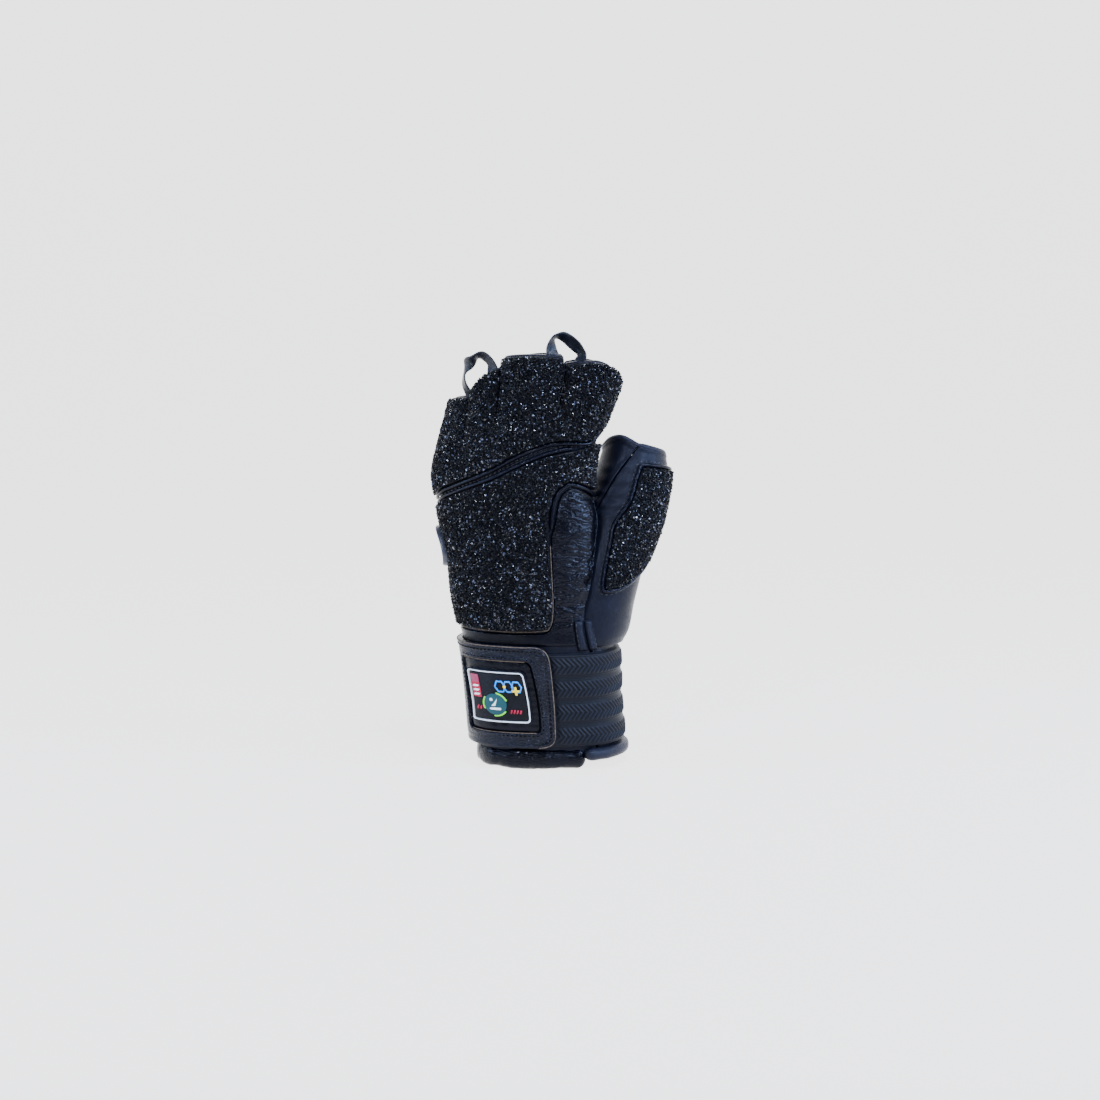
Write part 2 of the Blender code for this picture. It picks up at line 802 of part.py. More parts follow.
leather = plain_material("matte_leather", (0.012, 0.013, 0.017), 0.55)
shiny_leather = plain_material("shiny_leather", (0.010, 0.010, 0.013), 0.25)
crumb = plain_material("rubber_crumb", (0.014, 0.014, 0.018), 0.85)
elastic = plain_material("elastic_webbing", (0.016, 0.017, 0.024), 0.80)
flap_leather = plain_material("pebbled_leather", (0.012, 0.012, 0.015), 0.45)
ribbon_cloth = plain_material("ribbon", (0.012, 0.016, 0.040), 0.70)
patch_rubber = plain_material("patch_rubber", (0.020, 0.022, 0.026), 0.50)
border_rubber = plain_material("border_rubber", (0.75, 0.77, 0.80), 0.50)
emblem_rubber = plain_material("emblem_rubber", (0.20, 0.22, 0.27), 0.45)

COVER = LEATHER + CLEARANCE
shell_bottom = SHELL_BOTTOM / GLOVE_HEIGHT

# The forms that trim the hand's pieces where the thumb joins, and the thumb's where the hand does
thumb_form = form_solid(
    "thumb_form", thumb_point, LEATHER + CLEARANCE, 0.2945, 0.900, 30, 40, leather
)
hand_form = form_solid("hand_form", hand_point, LEATHER + CLEARANCE, 0.250, 0.860, 30, 48, leather)

# Back and palm of the hand, with the stubs of the four fingers
gap_turn = 0.006
seam = spline(shares(SEAM_BACK_PALM), 1)
back = shifted(seam, gap_turn)
back += stub_edge(-0.5 + gap_turn, ULNAR_SEAM - gap_turn, 0, 0)
back += [(ULNAR_SEAM - gap_turn, shell_bottom)]
back_panel = slab("back_panel", back, hand_point, 0.0, LEATHER, leather)
palm = shifted(list(reversed(seam)), 4 - gap_turn)
palm += [(ULNAR_SEAM + gap_turn, shell_bottom)]
palm += stub_edge(ULNAR_SEAM + gap_turn, 3.5 - gap_turn, 0, 0)
palm_panel = slab(
    "palm_panel", palm, hand_point, 0.0, LEATHER, leather, turn_step=WIDE_TURN_STEP
)
for slit in SLITS:
    fourchette(slit, leather)


def pad_inner(turn, height):
    """Inner depth of the pads, a little clear of the leather in valleys and at the side."""
    sunk = valley(turn, height) if 0 <= turn <= 1 else 0.0
    return COVER + 0.2 * sunk + 0.0005 * smooth_step(0.10, 0.40, -turn)


# Grip pads on the back of the hand
pad_fingers = [
    (mark[0], mark[1] + PIPING_SHIFT) for mark in reversed(spline(shares(SLIT_UPPER), 2))
]
pad_fingers = list(reversed(pad_fingers))
pad_fingers += stub_edge(-0.453, 1.400, RIM_STEP, CLEARANCE)
slab("grip_pad_fingers", pad_fingers, hand_point, pad_inner, COVER + GRIP, crumb)
pad_hand = [(mark[0], mark[1] - PIPING_SHIFT) for mark in spline(shares(SLIT_LOWER), 2)]
pad_hand += spline(shares(PAD_HAND_RIGHT), 2)
pad_hand += spline(shares(PAD_HAND_ARCH), 2)
pad_hand += spline(shares(PAD_HAND_LOWER), 2)
grip_pad_hand = slab("grip_pad_hand", pad_hand, hand_point, pad_inner, COVER + GRIP, crumb)

# Piping on both sides of the bending slit
piping_middle = COVER + PIPING_RADIUS
for name, marks in (("slit_piping_upper", SLIT_UPPER), ("slit_piping_lower", SLIT_LOWER)):
    path = spline(shares(marks), 2)
    cord(name, path, hand_point, piping_middle, PIPING_RADIUS, PIPING_RADIUS, shiny_leather)


def web_swell(turn, height):
    """Outer depth of the web panel, which swells where it fills out beside the thumb."""
    swell = smooth_step(0.30, 0.05, turn) * smooth_step(0.33, 0.45, height)
    swell *= smooth_step(0.70, 0.60, height)
    return COVER + 0.0012 + 0.0014 * swell


# Web panel between thumb and hand, and its rolled edge
web = [(1.440, 0.306), (1.440, 0.3360), (0.735, 0.334), (0.370, 0.337)]
web += [(0.300, 0.343), (0.262, 0.354), (0.229, 0.372), (0.204, 0.415), (0.195, 0.482)]
web += [(0.187, 0.549), (0.180, 0.575), (0.161, 0.585)]
arch_middle = (-0.060, 0.600)
web += [
    (
        arch_middle[0] + (turn - arch_middle[0]) * 0.86,
        arch_middle[1] + (height - arch_middle[1]) * 0.90,
    )
    for turn, height in spline(shares(WEB_ARCH[:-1]), 2)[::-1]
]
web += shares(WEB_RIGHT[:-1])[::-1]
web += [(0.005, 0.374), (0.005, 0.306)]
web_panel = slab("web_panel", web, hand_point, COVER, web_swell, shiny_leather)
web_piping = cord(
    "web_piping",
    spline(shares(WEB_ARCH), 3),
    hand_point,
    piping_middle,
    PIPING_RADIUS,
    PIPING_RADIUS,
    shiny_leather,
)

# Strips on both sides of the wrist slit
for name, low, high in (
    ("slit_facing_hand", -0.067, -0.006),
    ("slit_facing_thumb", -0.144, -0.083),
):
    strip = [(low, 0.2925), (high, 0.2925), (high, 0.366), (low, 0.366)]
    facing = slab(name, strip, hand_point, COVER, COVER + FACING, leather)

# Thumb, with a seam on its front and one on its hidden side
seam = spline(shares(THUMB_SEAM), 2)
rim_marks = spline(shares(THUMB_RIM), 2)
seam_top = seam[0][0]
outer = shifted(list(reversed(seam)), 0.010)
outer += [mark for mark in rim_marks if mark[0] > seam_top + 0.03 and mark[0] < 1.98]
outer += [(1.990, 0.768), (1.990, 0.297)]
thumb_outer_panel = slab(
    "thumb_outer_panel", outer, thumb_point, 0.0, LEATHER, leather, turn_step=WIDE_TURN_STEP
)
inner = shifted(seam, -0.010)
inner += [(-1.990, 0.297), (-1.990, 0.768)]
inner += [mark for mark in rim_marks if mark[0] > -1.98 and mark[0] < seam_top - 0.03]
thumb_inner_panel = slab(
    "thumb_inner_panel", inner, thumb_point, 0.0, LEATHER, leather, turn_step=WIDE_TURN_STEP
)
pad = spline(shares(THUMB_PAD) + [tuple(THUMB_PAD[0])], 2)[:-1]
pad_edge = inset(pad, 0.0014, thumb_point, COVER)
grip_pad_thumb = slab(
    "grip_pad_thumb",
    pad_edge,
    thumb_point,
    COVER,
    COVER + GRIP,
    crumb,
    turn_step=WIDE_TURN_STEP,
)
thumb_piping = cord(
    "thumb_piping",
    pad,
    thumb_point,
    COVER + 0.0011,
    0.0009,
    0.0009,
    shiny_leather,
    4,
)

# Trim the pieces where the thumb leaves the hand
for piece in (back_panel, palm_panel, web_panel, grip_pad_hand, web_piping, facing):
    cut(piece, thumb_form)
for piece in (thumb_outer_panel, thumb_inner_panel):
    cut(piece, hand_form)


def strap_depth(turn, height):
    """Outer depth of the elastic, with its padded ribs where no flap covers them."""
    low = STRAP_BOTTOM / GLOVE_HEIGHT
    share = (height - low) / (STRAP_WIDTH / GLOVE_HEIGHT)
    ribs = abs(math.sin(math.pi * STRAP_RIB_COUNT * min(max(share, 0.0), 1.0)))
    shown = smooth_step(0.36, 0.26, turn) * smooth_step(-1.95, -1.75, turn)
    return COVER + ELASTIC + STRAP_RIB_HEIGHT * ribs * shown


# Elastic strap all round the wrist, with its flap, window and badge on the back
strap_low = STRAP_BOTTOM / GLOVE_HEIGHT
strap_high = (STRAP_BOTTOM + STRAP_WIDTH) / GLOVE_HEIGHT
strap = [(1.850, strap_low), (1.850, strap_high), (-2.080, strap_high), (-2.080, strap_low)]
slab(
    "elastic_strap",
    strap,
    hand_point,
    COVER,
    strap_depth,
    elastic,
    level_step=RIB_STEP,
)
OVER_STRAP = COVER + ELASTIC + 1.6 * CLEARANCE
flap = [(0.395, 0.100), (0.378, 0.206), (0.367, 0.262), (0.372, 0.285), (0.400, 0.298)]
flap += [(0.450, 0.305), (0.520, 0.308), (1.830, 0.308), (1.830, 0.0565), (0.640, 0.0565)]
flap += [(0.520, 0.060), (0.440, 0.068), (0.405, 0.080)]
badge_centre = (1.060, 0.1830)
badge_half_width = 0.0178
badge_half_height = 0.0146
window_outline = rounded_patch(
    badge_centre,
    badge_half_width + WINDOW_MARGIN,
    badge_half_height + WINDOW_MARGIN,
    BADGE_CORNER * 1.5,
    OVER_STRAP + FLAP,
    hand_point,
)
window_inner = rounded_patch(
    badge_centre,
    badge_half_width + WINDOW_MARGIN - 1.6 * CLEARANCE,
    badge_half_height + WINDOW_MARGIN - 1.6 * CLEARANCE,
    BADGE_CORNER * 1.5,
    OVER_STRAP + FLAP,
    hand_point,
)
slab(
    "strap_flap",
    flap,
    hand_point,
    OVER_STRAP,
    OVER_STRAP + FLAP,
    flap_leather,
    [window_outline],
)
slab(
    "badge_window",
    window_inner,
    hand_point,
    OVER_STRAP,
    OVER_STRAP + WINDOW,
    shiny_leather,
)
over_window = OVER_STRAP + WINDOW + 1.6 * CLEARANCE
ring = (
    rounded_patch(
        badge_centre, badge_half_width, badge_half_height, BADGE_CORNER, over_window, hand_point
    ),
    rounded_patch(
        badge_centre,
        badge_half_width - BADGE_BORDER,
        badge_half_height - BADGE_BORDER,
        BADGE_CORNER - BADGE_BORDER / 2,
        over_window,
        hand_point,
    ),
    rounded_patch(
        badge_centre,
        badge_half_width - BADGE_BORDER - 0.0005,
        badge_half_height - BADGE_BORDER - 0.0005,
        BADGE_CORNER - BADGE_BORDER / 2,
        over_window,
        hand_point,
    ),
)
slab(
    "badge_border",
    ring[0],
    hand_point,
    over_window,
    over_window + BADGE + BADGE_RAISE,
    border_rubber,
    [ring[1]],
)
slab("badge", ring[2], hand_point, over_window, over_window + BADGE, patch_rubber)

# Padded rolls at the wrist's lower edge. The palm's roll rides up where it starts by the thumb.
for name, first, final, middle, lift, material in (
    ("cuff_roll_back", -0.020, 1.900, 0.0010, 0.0, shiny_leather),
    ("cuff_roll_palm", -0.052, -2.060, 0.0044, ROLL_LIFT, leather),
):
    turns = [first + (final - first) * step / 19 for step in range(20)]
    lifts = [lift * smooth_step(1.20, 0.40, -turn) for turn in turns]
    halves = [(ROLL_HEIGHT - raised) / 2 for raised in lifts]
    path = [
        (turn, (raised + half) / GLOVE_HEIGHT) for turn, raised, half in zip(turns, lifts, halves)
    ]
    cord(name, path, hand_point, middle, halves, ROLL_THICKNESS / 2, material, 8, 1)

# Round button on the little finger's side
emblem_centre = (1.330, 0.5275)


def emblem_circle(radius, count=14):
    over_pad = COVER + GRIP
    across = turn_for(1.0, *emblem_centre, over_pad, hand_point)
    return [
        (
            emblem_centre[0] + radius * across * math.cos(2 * math.pi * step / count),
            emblem_centre[1] + radius / GLOVE_HEIGHT * math.sin(2 * math.pi * step / count),
        )
        for step in range(count)
    ]


over_pad = COVER + GRIP + 2 * CLEARANCE
slab(
    "side_emblem_rim",
    emblem_circle(EMBLEM_RADIUS),
    hand_point,
    over_pad,
    over_pad + EMBLEM_THICKNESS,
    patch_rubber,
    [emblem_circle(EMBLEM_RADIUS - EMBLEM_RIM)],
    FINE_TURN_STEP,
)
slab(
    "side_emblem",
    emblem_circle(EMBLEM_RADIUS - EMBLEM_RIM - 0.0003),
    hand_point,
    over_pad,
    over_pad + EMBLEM_THICKNESS * 0.6,
    emblem_rubber,
    (),
    FINE_TURN_STEP,
)

# Ribbon loops between the fingers. X is a share of HAND_WIDTH, y of HAND_DEPTH and height of
# GLOVE_HEIGHT, and the two angles are in degrees.
LoopRow = namedtuple("LoopRow", "x y height lean yaw")
LOOP_MIDDLE = (
    LoopRow(0.022, -0.382, 0.958, 0, 0),
    LoopRow(0.018, -0.382, 0.990, 0, 5),
    LoopRow(0.008, -0.340, 1.015, -10, 40),
    LoopRow(0.026, -0.290, 1.040, -50, 75),
    LoopRow(0.075, -0.270, 1.040, -105, 40),
    LoopRow(0.132, -0.270, 1.022, -125, 25),
    LoopRow(0.168, -0.280, 1.003, -160, 50),
    LoopRow(0.165, -0.320, 0.985, -180, 25),
    LoopRow(0.158, -0.345, 0.955, -180, 0),
)
LOOP_LITTLE = (
    LoopRow(-0.425, 0.186, 0.862, 0, -32),
    LoopRow(-0.432, 0.180, 0.892, 0, -32),
    LoopRow(-0.470, 0.150, 0.922, 0, -65),
    LoopRow(-0.465, 0.080, 0.960, -20, -75),
    LoopRow(-0.418, 0.015, 0.988, -60, 60),
    LoopRow(-0.365, -0.020, 0.994, -90, 45),
    LoopRow(-0.322, -0.055, 0.978, -135, 50),
    LoopRow(-0.308, -0.070, 0.952, -170, 20),
    LoopRow(-0.305, -0.080, 0.915, -180, 0),
)
ribbon("pull_loop_middle", LOOP_MIDDLE, ribbon_cloth)
ribbon("pull_loop_little", LOOP_LITTLE, ribbon_cloth)
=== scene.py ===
"""Looks of the left-hand shooting glove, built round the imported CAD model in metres.

The glove's panels follow the same hollow hand form as its solids. A point on a form is given by
a turn, a height as a share of GLOVE_HEIGHT and a depth outwards from the hollow. A panel here is
a finely divided sheet on that form, with the folds, grain and padding that the leather shows.
"""

import math
from collections import namedtuple
from functools import partial

import bpy
import numpy as np
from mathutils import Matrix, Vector
from mathutils.geometry import delaunay_2d_cdt


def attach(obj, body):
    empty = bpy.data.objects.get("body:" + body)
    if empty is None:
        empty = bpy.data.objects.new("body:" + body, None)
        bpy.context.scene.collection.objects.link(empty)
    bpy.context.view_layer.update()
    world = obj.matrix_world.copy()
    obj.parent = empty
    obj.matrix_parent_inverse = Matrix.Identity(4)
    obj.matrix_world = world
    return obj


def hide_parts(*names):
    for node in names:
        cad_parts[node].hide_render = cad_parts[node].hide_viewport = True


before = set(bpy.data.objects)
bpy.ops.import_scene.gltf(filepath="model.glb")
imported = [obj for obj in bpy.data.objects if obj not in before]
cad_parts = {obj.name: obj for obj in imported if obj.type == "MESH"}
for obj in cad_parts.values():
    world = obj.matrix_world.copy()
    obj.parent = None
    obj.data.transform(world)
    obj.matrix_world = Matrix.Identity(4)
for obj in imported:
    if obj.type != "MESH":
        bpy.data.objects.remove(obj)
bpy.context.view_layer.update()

# Sizes of the forms and layers, the same as the solids'
GLOVE_HEIGHT = 0.2265
HAND_WIDTH = 0.100
HAND_DEPTH = 0.050
THUMB_WIDTH = 0.038
THUMB_DEPTH = 0.036
LEATHER = 0.0030
CLEARANCE = 0.0005
COVER = LEATHER + CLEARANCE
GRIP = 0.0030
ELASTIC = 0.0020
FLAP = 0.0020
WINDOW = 0.0009
BADGE = 0.0012
STRAP_BOTTOM = 0.0130
STRAP_WIDTH = 0.0520
ROLL_HEIGHT = 0.0118
ROLL_THICKNESS = 0.0086
ROLL_LIFT = 0.0046
OVER_STRAP = COVER + ELASTIC + 1.6 * CLEARANCE
OVER_WINDOW = OVER_STRAP + WINDOW + 1.6 * CLEARANCE
VALLEY_DEPTH = 0.0034
VALLEY_REACH = 0.110
VALLEY_START = 0.700
VALLEY_FULL = 0.930
RIM_STEP = 0.0012
PIPING_SHIFT = 0.0063
PIPING_RADIUS = 0.0010
EMBLEM_RADIUS = 0.0112
EMBLEM_RIM = 0.0016
EMBLEM_THICKNESS = 0.0014
RIBBON = 0.0010
RIBBON_WIDTH = 0.0068
LEATHER_BOTTOM = 0.0080  # lower than the solids', so that it closes the view behind the rolls
SINK = 0.0004  # how far a layer's underside lies below the top of the layer under it
SEAM_GAP = 0.002  # half the gap along a sewn seam, as a turn
GRAIN_MARGIN = 0.0004  # how far the grains stay from their pad's edge
TURN_STEP = 0.02  # spacing of the marks round a form and along the stubs' rims, as a turn
ARROW_PITCH = 0.0025  # spacing of the arrowheads woven into the strap
RIB_PITCH = 0.0010  # spacing of the ribs between them
ROW_STEP = 0.866  # height of a row of even triangles, as a share of its spacing

# The photograph's view, a little above the glove and looking down at it
CAMERA_DISTANCE = 0.960
CAMERA_PITCH = math.radians(8)
CAMERA_TARGET = Vector((0.0, 0.0, 0.118))
FOCAL_PIXELS = 1730.0
PHOTO_WIDTH = 1100
SENSOR = 36.0

HandRow = namedtuple(
    "HandRow", "height index_x index_y bend_x bend_y little_x little_y index_r little_r corner"
)
HAND_ROWS = [HandRow(*row) for row in (
    (0.000, 0.120, 0.00, 0.000, -0.05, -0.120, 0.00, 0.450, 0.450, 2.4),
    (0.066, 0.130, 0.00, -0.005, -0.06, -0.140, 0.00, 0.460, 0.460, 2.5),
    (0.177, 0.105, 0.00, -0.020, -0.06, -0.155, 0.00, 0.470, 0.470, 2.6),
    (0.287, 0.090, -0.02, -0.040, -0.08, -0.180, 0.02, 0.470, 0.470, 2.6),
    (0.349, 0.070, -0.04, -0.060, -0.10, -0.220, 0.04, 0.440, 0.460, 2.5),
    (0.420, 0.060, -0.06, -0.080, -0.14, -0.270, 0.06, 0.400, 0.430, 2.3),
    (0.486, 0.060, -0.08, -0.100, -0.18, -0.310, 0.10, 0.370, 0.390, 2.1),
    (0.574, 0.070, -0.10, -0.140, -0.22, -0.380, 0.16, 0.330, 0.340, 2.0),
    (0.640, 0.060, -0.12, -0.170, -0.26, -0.430, 0.20, 0.300, 0.300, 2.0),
    (0.706, 0.050, -0.14, -0.200, -0.28, -0.465, 0.24, 0.280, 0.270, 2.0),
    (0.781, 0.085, -0.16, -0.220, -0.30, -0.440, 0.28, 0.260, 0.250, 2.0),
    (0.839, 0.130, -0.17, -0.230, -0.32, -0.410, 0.32, 0.250, 0.240, 2.0),
    (0.883, 0.175, -0.18, -0.240, -0.34, -0.390, 0.34, 0.240, 0.230, 2.0),
    (0.940, 0.215, -0.18, -0.250, -0.34, -0.355, 0.36, 0.240, 0.230, 2.0),
    (1.020, 0.215, -0.18, -0.250, -0.34, -0.330, 0.38, 0.240, 0.230, 2.0),
)]
ThumbRow = namedtuple("ThumbRow", "height x y half_width half_depth")
THUMB_ROWS = [ThumbRow(*row) for row in (
    (0.240, 0.150, 0.00, 0.420, 0.430),
    (0.288, 0.180, -0.03, 0.455, 0.500),
    (0.305, 0.205, -0.04, 0.463, 0.515),
    (0.331, 0.226, -0.03, 0.480, 0.530),
    (0.397, 0.258, 0.00, 0.485, 0.550),
    (0.486, 0.310, 0.06, 0.485, 0.530),
    (0.574, 0.380, 0.13, 0.495, 0.490),
    (0.649, 0.420, 0.21, 0.500, 0.450),
    (0.706, 0.450, 0.27, 0.466, 0.415),
    (0.751, 0.465, 0.31, 0.400, 0.375),
    (0.830, 0.472, 0.34, 0.345, 0.345),
)]
Stub = namedtuple("Stub", "name start end start_rim middle_rim end_rim")
STUBS = [Stub(*row) for row in (
    ("index", -0.500, 0.165, 0.915, 0.978, 0.980),
    ("middle", 0.165, 0.560, 0.998, 1.001, 0.996),
    ("ring", 0.560, 0.815, 0.974, 0.950, 0.908),
    ("little", 0.815, 1.500, 0.902, 0.890, 0.880),
)]
Slit = namedtuple("Slit", "name turn crotch")
SLITS = [Slit(*row) for row in (
    ("index_middle", 0.165, 0.872),
    ("middle_ring", 0.560, 0.855),
    ("ring_little", 0.815, 0.797),
)]


def column(rows, name, height):
    """Values of one column of a table at many heights, on a smooth curve through its rows."""
    marks = np.array([row.height for row in rows])
    values = np.array([getattr(row, name) for row in rows])
    low = np.maximum(np.arange(len(rows)) - 1, 0)
    high = np.minimum(np.arange(len(rows)) + 1, len(rows) - 1)
    slopes = (values[high] - values[low]) / (marks[high] - marks[low])
    height = np.clip(height, marks[0], marks[-1])
    index = np.clip(np.searchsorted(marks, height) - 1, 0, len(rows) - 2)
    span = marks[index + 1] - marks[index]
    t = (height - marks[index]) / span
    return (
        values[index] * (2 * t ** 3 - 3 * t ** 2 + 1)
        + slopes[index] * span * (t ** 3 - 2 * t ** 2 + t)
        + values[index + 1] * (3 * t ** 2 - 2 * t ** 3)
        + slopes[index + 1] * span * (t ** 3 - t ** 2)
    )


def smooth_step(low, high, value):
    """0 below low, 1 above high and an even curve between."""
    t = np.clip((value - low) / (high - low), 0.0, 1.0)
    return t * t * (3 - 2 * t)


def unit(vectors):
    """The vectors, each one long."""
    return vectors / np.maximum(np.linalg.norm(vectors, axis=-1, keepdims=True), 1e-12)


def run_along(points):
    """Length along a path at each of its points."""
    return np.concatenate([[0], np.cumsum(np.linalg.norm(np.diff(points, axis=0), axis=1))])


def hand_points(turn, height, depth):
    """Points of the hand form: turn -1 to 0 is the index side, 0 to 1 the back of the hand."""
    turn, height, depth = np.broadcast_arrays(
        (np.asarray(turn, float) + 1) % 4 - 1, np.asarray(height, float), np.asarray(depth, float)
    )
    zones = [turn < 0, turn <= 1, turn < 2]
    share = np.select(zones, [0 * turn, turn, 0 * turn + 1], 3 - turn)
    angle = np.select(zones, [-turn * math.pi, 0 * turn, (turn - 1) * math.pi], math.pi)
    rest = 1 - share
    ways = [
        [column(HAND_ROWS, name + axis, height) * size for name in ("index", "bend", "little")]
        for axis, size in (("_x", HAND_WIDTH), ("_y", HAND_DEPTH))
    ]
    curve = [rest ** 2 * a + 2 * rest * share * b + share ** 2 * c for a, b, c in ways]
    centre = np.stack(curve, -1)
    along = unit(np.stack([rest * (b - a) + share * (c - b) for a, b, c in ways], -1))
    back = np.stack([along[..., 1], -along[..., 0]], -1)
    back = np.where(back[..., 1:] > 0, -back, back)
    end = np.where((turn < 0)[..., None], -along, along)
    corner = np.where((turn > 1) & (turn < 2), column(HAND_ROWS, "corner", height), 2.0)
    low = column(HAND_ROWS, "index_r", height)
    radius = (low + (column(HAND_ROWS, "little_r", height) - low) * share) * HAND_DEPTH
    side = np.cos(angle)
    tip = np.sin(angle)
    size = (np.abs(side) ** corner + np.abs(tip) ** corner) ** (1 / corner)
    reach = (back * side[..., None] + end * tip[..., None]) / size[..., None]
    across = np.sign(side) * np.abs(side) ** (corner - 1)
    facing = unit(back * across[..., None] + end * (np.abs(tip) ** (corner - 1))[..., None])
    near = np.min([np.abs(share - slit.turn) for slit in SLITS], 0) / VALLEY_REACH
    sunk = VALLEY_DEPTH * np.maximum(1 - near, 0) ** 2
    sunk = sunk * smooth_step(VALLEY_START, VALLEY_FULL, height)
    sunk = np.where(((turn >= 0) & (turn <= 1)) | (turn >= 2), sunk, 0.0)
    flat = centre + reach * radius[..., None] + facing * (depth - sunk)[..., None]
    return np.concatenate([flat, (height * GLOVE_HEIGHT)[..., None]], -1)


def thumb_section(height):
    """Middle and half sizes of the thumb form at many heights."""
    scales = {"x": HAND_WIDTH, "y": HAND_DEPTH, "half_width": THUMB_WIDTH, "half_depth": THUMB_DEPTH}
    return [column(THUMB_ROWS, name, height) * scale for name, scale in scales.items()]


def thumb_points(turn, height, depth):
    """Points of the thumb form: turn 0 faces the viewer, 1 the outer side and 2 the palm."""
    turn, height, depth = np.broadcast_arrays(
        np.asarray(turn, float), np.asarray(height, float), np.asarray(depth, float)
    )
    sine, cosine = np.sin(turn * math.pi / 2), np.cos(turn * math.pi / 2)
    x, y, half_width, half_depth = thumb_section(height)
    outward = unit(np.stack([sine / half_width, -cosine / half_depth], -1))
    return np.stack([
        x + half_width * sine + outward[..., 0] * depth,
        y - half_depth * cosine + outward[..., 1] * depth,
        height * GLOVE_HEIGHT,
    ], -1)


def in_thumb(points, depth):
    """Which points lie inside the thumb form, grown by a depth."""
    height = points[:, 2] / GLOVE_HEIGHT
    x, y, half_width, half_depth = thumb_section(height)
    across = (points[:, 0] - x) / (half_width + depth)
    through = (points[:, 1] - y) / (half_depth + depth)
    return (across ** 2 + through ** 2 < 1) & (height > 0.2945) & (height < 0.790)


def in_hand(points, depth):
    """Which points lie inside the hand form, grown by a depth."""
    height = points[:, 2] / GLOVE_HEIGHT
    shares = np.linspace(0, 1, 40)
    back = hand_points(shares[None], height[:, None], 0.0)
    palm = hand_points(3 - shares[None], height[:, None], 0.0)
    middle = (back + palm) / 2
    radius = np.linalg.norm(back - palm, axis=-1) / 2 + depth
    apart = np.linalg.norm(middle[..., :2] - points[:, None, :2], axis=-1)
    return np.any(apart < radius, axis=1)


class Form:
    """A form with the real lengths round it, so that a pattern keeps its scale."""

    def __init__(self, points, low, high):
        """Lengths are kept for turns from low to high, at even levels up the form."""
        self.points = points
        self.turns = np.arange(low, high, TURN_STEP)
        self.levels = np.linspace(0.0, 1.02, 35)
        runs = []
        for level in self.levels:
            ring = points(self.turns, level, COVER)
            run = run_along(ring)
            runs.append(run - np.interp(0.0, self.turns, run))
        self.runs = np.array(runs)

    def level_at(self, height):
        """Where heights lie among the levels, counted in levels."""
        return np.interp(height, self.levels, np.arange(len(self.levels)))

    def run_at(self, height):
        """Length round the form at each of its turns, at one height."""
        place = self.level_at(height)
        low = min(int(place), len(self.levels) - 2)
        return self.runs[low] + (self.runs[low + 1] - self.runs[low]) * (place - low)

    def across(self, turn, height):
        """Length round the form from turn 0 at many turns and heights."""
        row = np.clip(self.level_at(height), 0, len(self.levels) - 1.001)
        col = np.clip((turn - self.turns[0]) / TURN_STEP, 0, len(self.turns) - 1.001)
        i, j = row.astype(int), col.astype(int)
        a, b = row - i, col - j
        table = self.runs
        return (
            table[i, j] * (1 - a) * (1 - b)
            + table[i + 1, j] * a * (1 - b)
            + table[i, j + 1] * (1 - a) * b
            + table[i + 1, j + 1] * a * b
        )


hand = Form(hand_points, -2.2, 4.2)
thumb = Form(thumb_points, -2.2, 2.2)


def spline(pairs, steps=4):
    """A smooth run of points through the pairs."""
    pairs = np.array(pairs, float)
    last = len(pairs) - 1
    points = []
    for index in range(last):
        a, b = pairs[max(index - 1, 0)], pairs[index]
        c, d = pairs[index + 1], pairs[min(index + 2, last)]
        for step in range(steps):
            t = step / steps
            points.append(0.5 * (
                2 * b
                + (c - a) * t
                + (2 * a - 5 * b + 4 * c - d) * t ** 2
                + (3 * b - a - 3 * c + d) * t ** 3
            ))
    points.append(pairs[-1])
    return [tuple(float(value) for value in point) for point in points]


def evened(loop, spacing):
    """Points along a closed flat outline, no further apart than the spacing."""
    result = []
    for a, b in zip(loop, np.roll(loop, -1, 0)):
        count = max(int(math.ceil(np.linalg.norm(b - a) / spacing)), 1)
        result += [a + (b - a) * step / count for step in range(count)]
    return np.array(result)


def flattened(form, outline, *holes):
    """Outlines laid flat at their real size, and the lengths round the form that did it."""
    heights = [mark[1] for mark in outline]
    run = form.run_at((min(heights) + max(heights)) / 2)
    flat = []
    for loop in (outline, *holes):
        turn, height = np.array(loop, float).T
        flat.append(np.stack([np.interp(turn, form.turns, run), height * GLOVE_HEIGHT], -1))
    return run, flat


def inside(loop, points):
    """Which points lie inside a closed flat outline."""
    result = np.zeros(len(points), bool)
    for a, b in zip(loop, np.roll(loop, -1, 0)):
        if a[1] == b[1]:
            continue
        crossed = (a[1] > points[:, 1]) != (b[1] > points[:, 1])
        edge = (b[0] - a[0]) * (points[:, 1] - a[1]) / (b[1] - a[1]) + a[0]
        result ^= crossed & (points[:, 0] < edge)
    return result


def edge_distance(loops, points):
    """Distance from each point to the nearest edge of the outlines."""
    nearest = np.full(len(points), np.inf)
    for loop in loops:
        for a, b in zip(loop, np.roll(loop, -1, 0)):
            run = b - a
            length = max(run @ run, 1e-18)
            t = np.clip(((points - a) @ run) / length, 0, 1)
            apart = points - a - t[:, None] * run
            nearest = np.minimum(nearest, np.einsum("ij,ij->i", apart, apart))
    return np.sqrt(nearest)


def waves(x, y, size, seed):
    """Smooth random field from -1 to 1 whose bumps are about size across."""
    table = np.random.default_rng(seed).uniform(-1, 1, (256, 256))
    u, v = x / size, y / size
    i, j = np.floor(u).astype(int), np.floor(v).astype(int)
    a, b = u - i, v - j
    a, b = a * a * (3 - 2 * a), b * b * (3 - 2 * b)
    i, j = i % 256, j % 256
    k, m = (i + 1) % 256, (j + 1) % 256
    low = table[i, j] * (1 - a) + table[k, j] * a
    high = table[i, m] * (1 - a) + table[k, m] * a
    return low * (1 - b) + high * b


def ridge(distance, width):
    """A smooth ridge, 1 high where the distance is 0."""
    return np.exp(-((distance / width) ** 2))


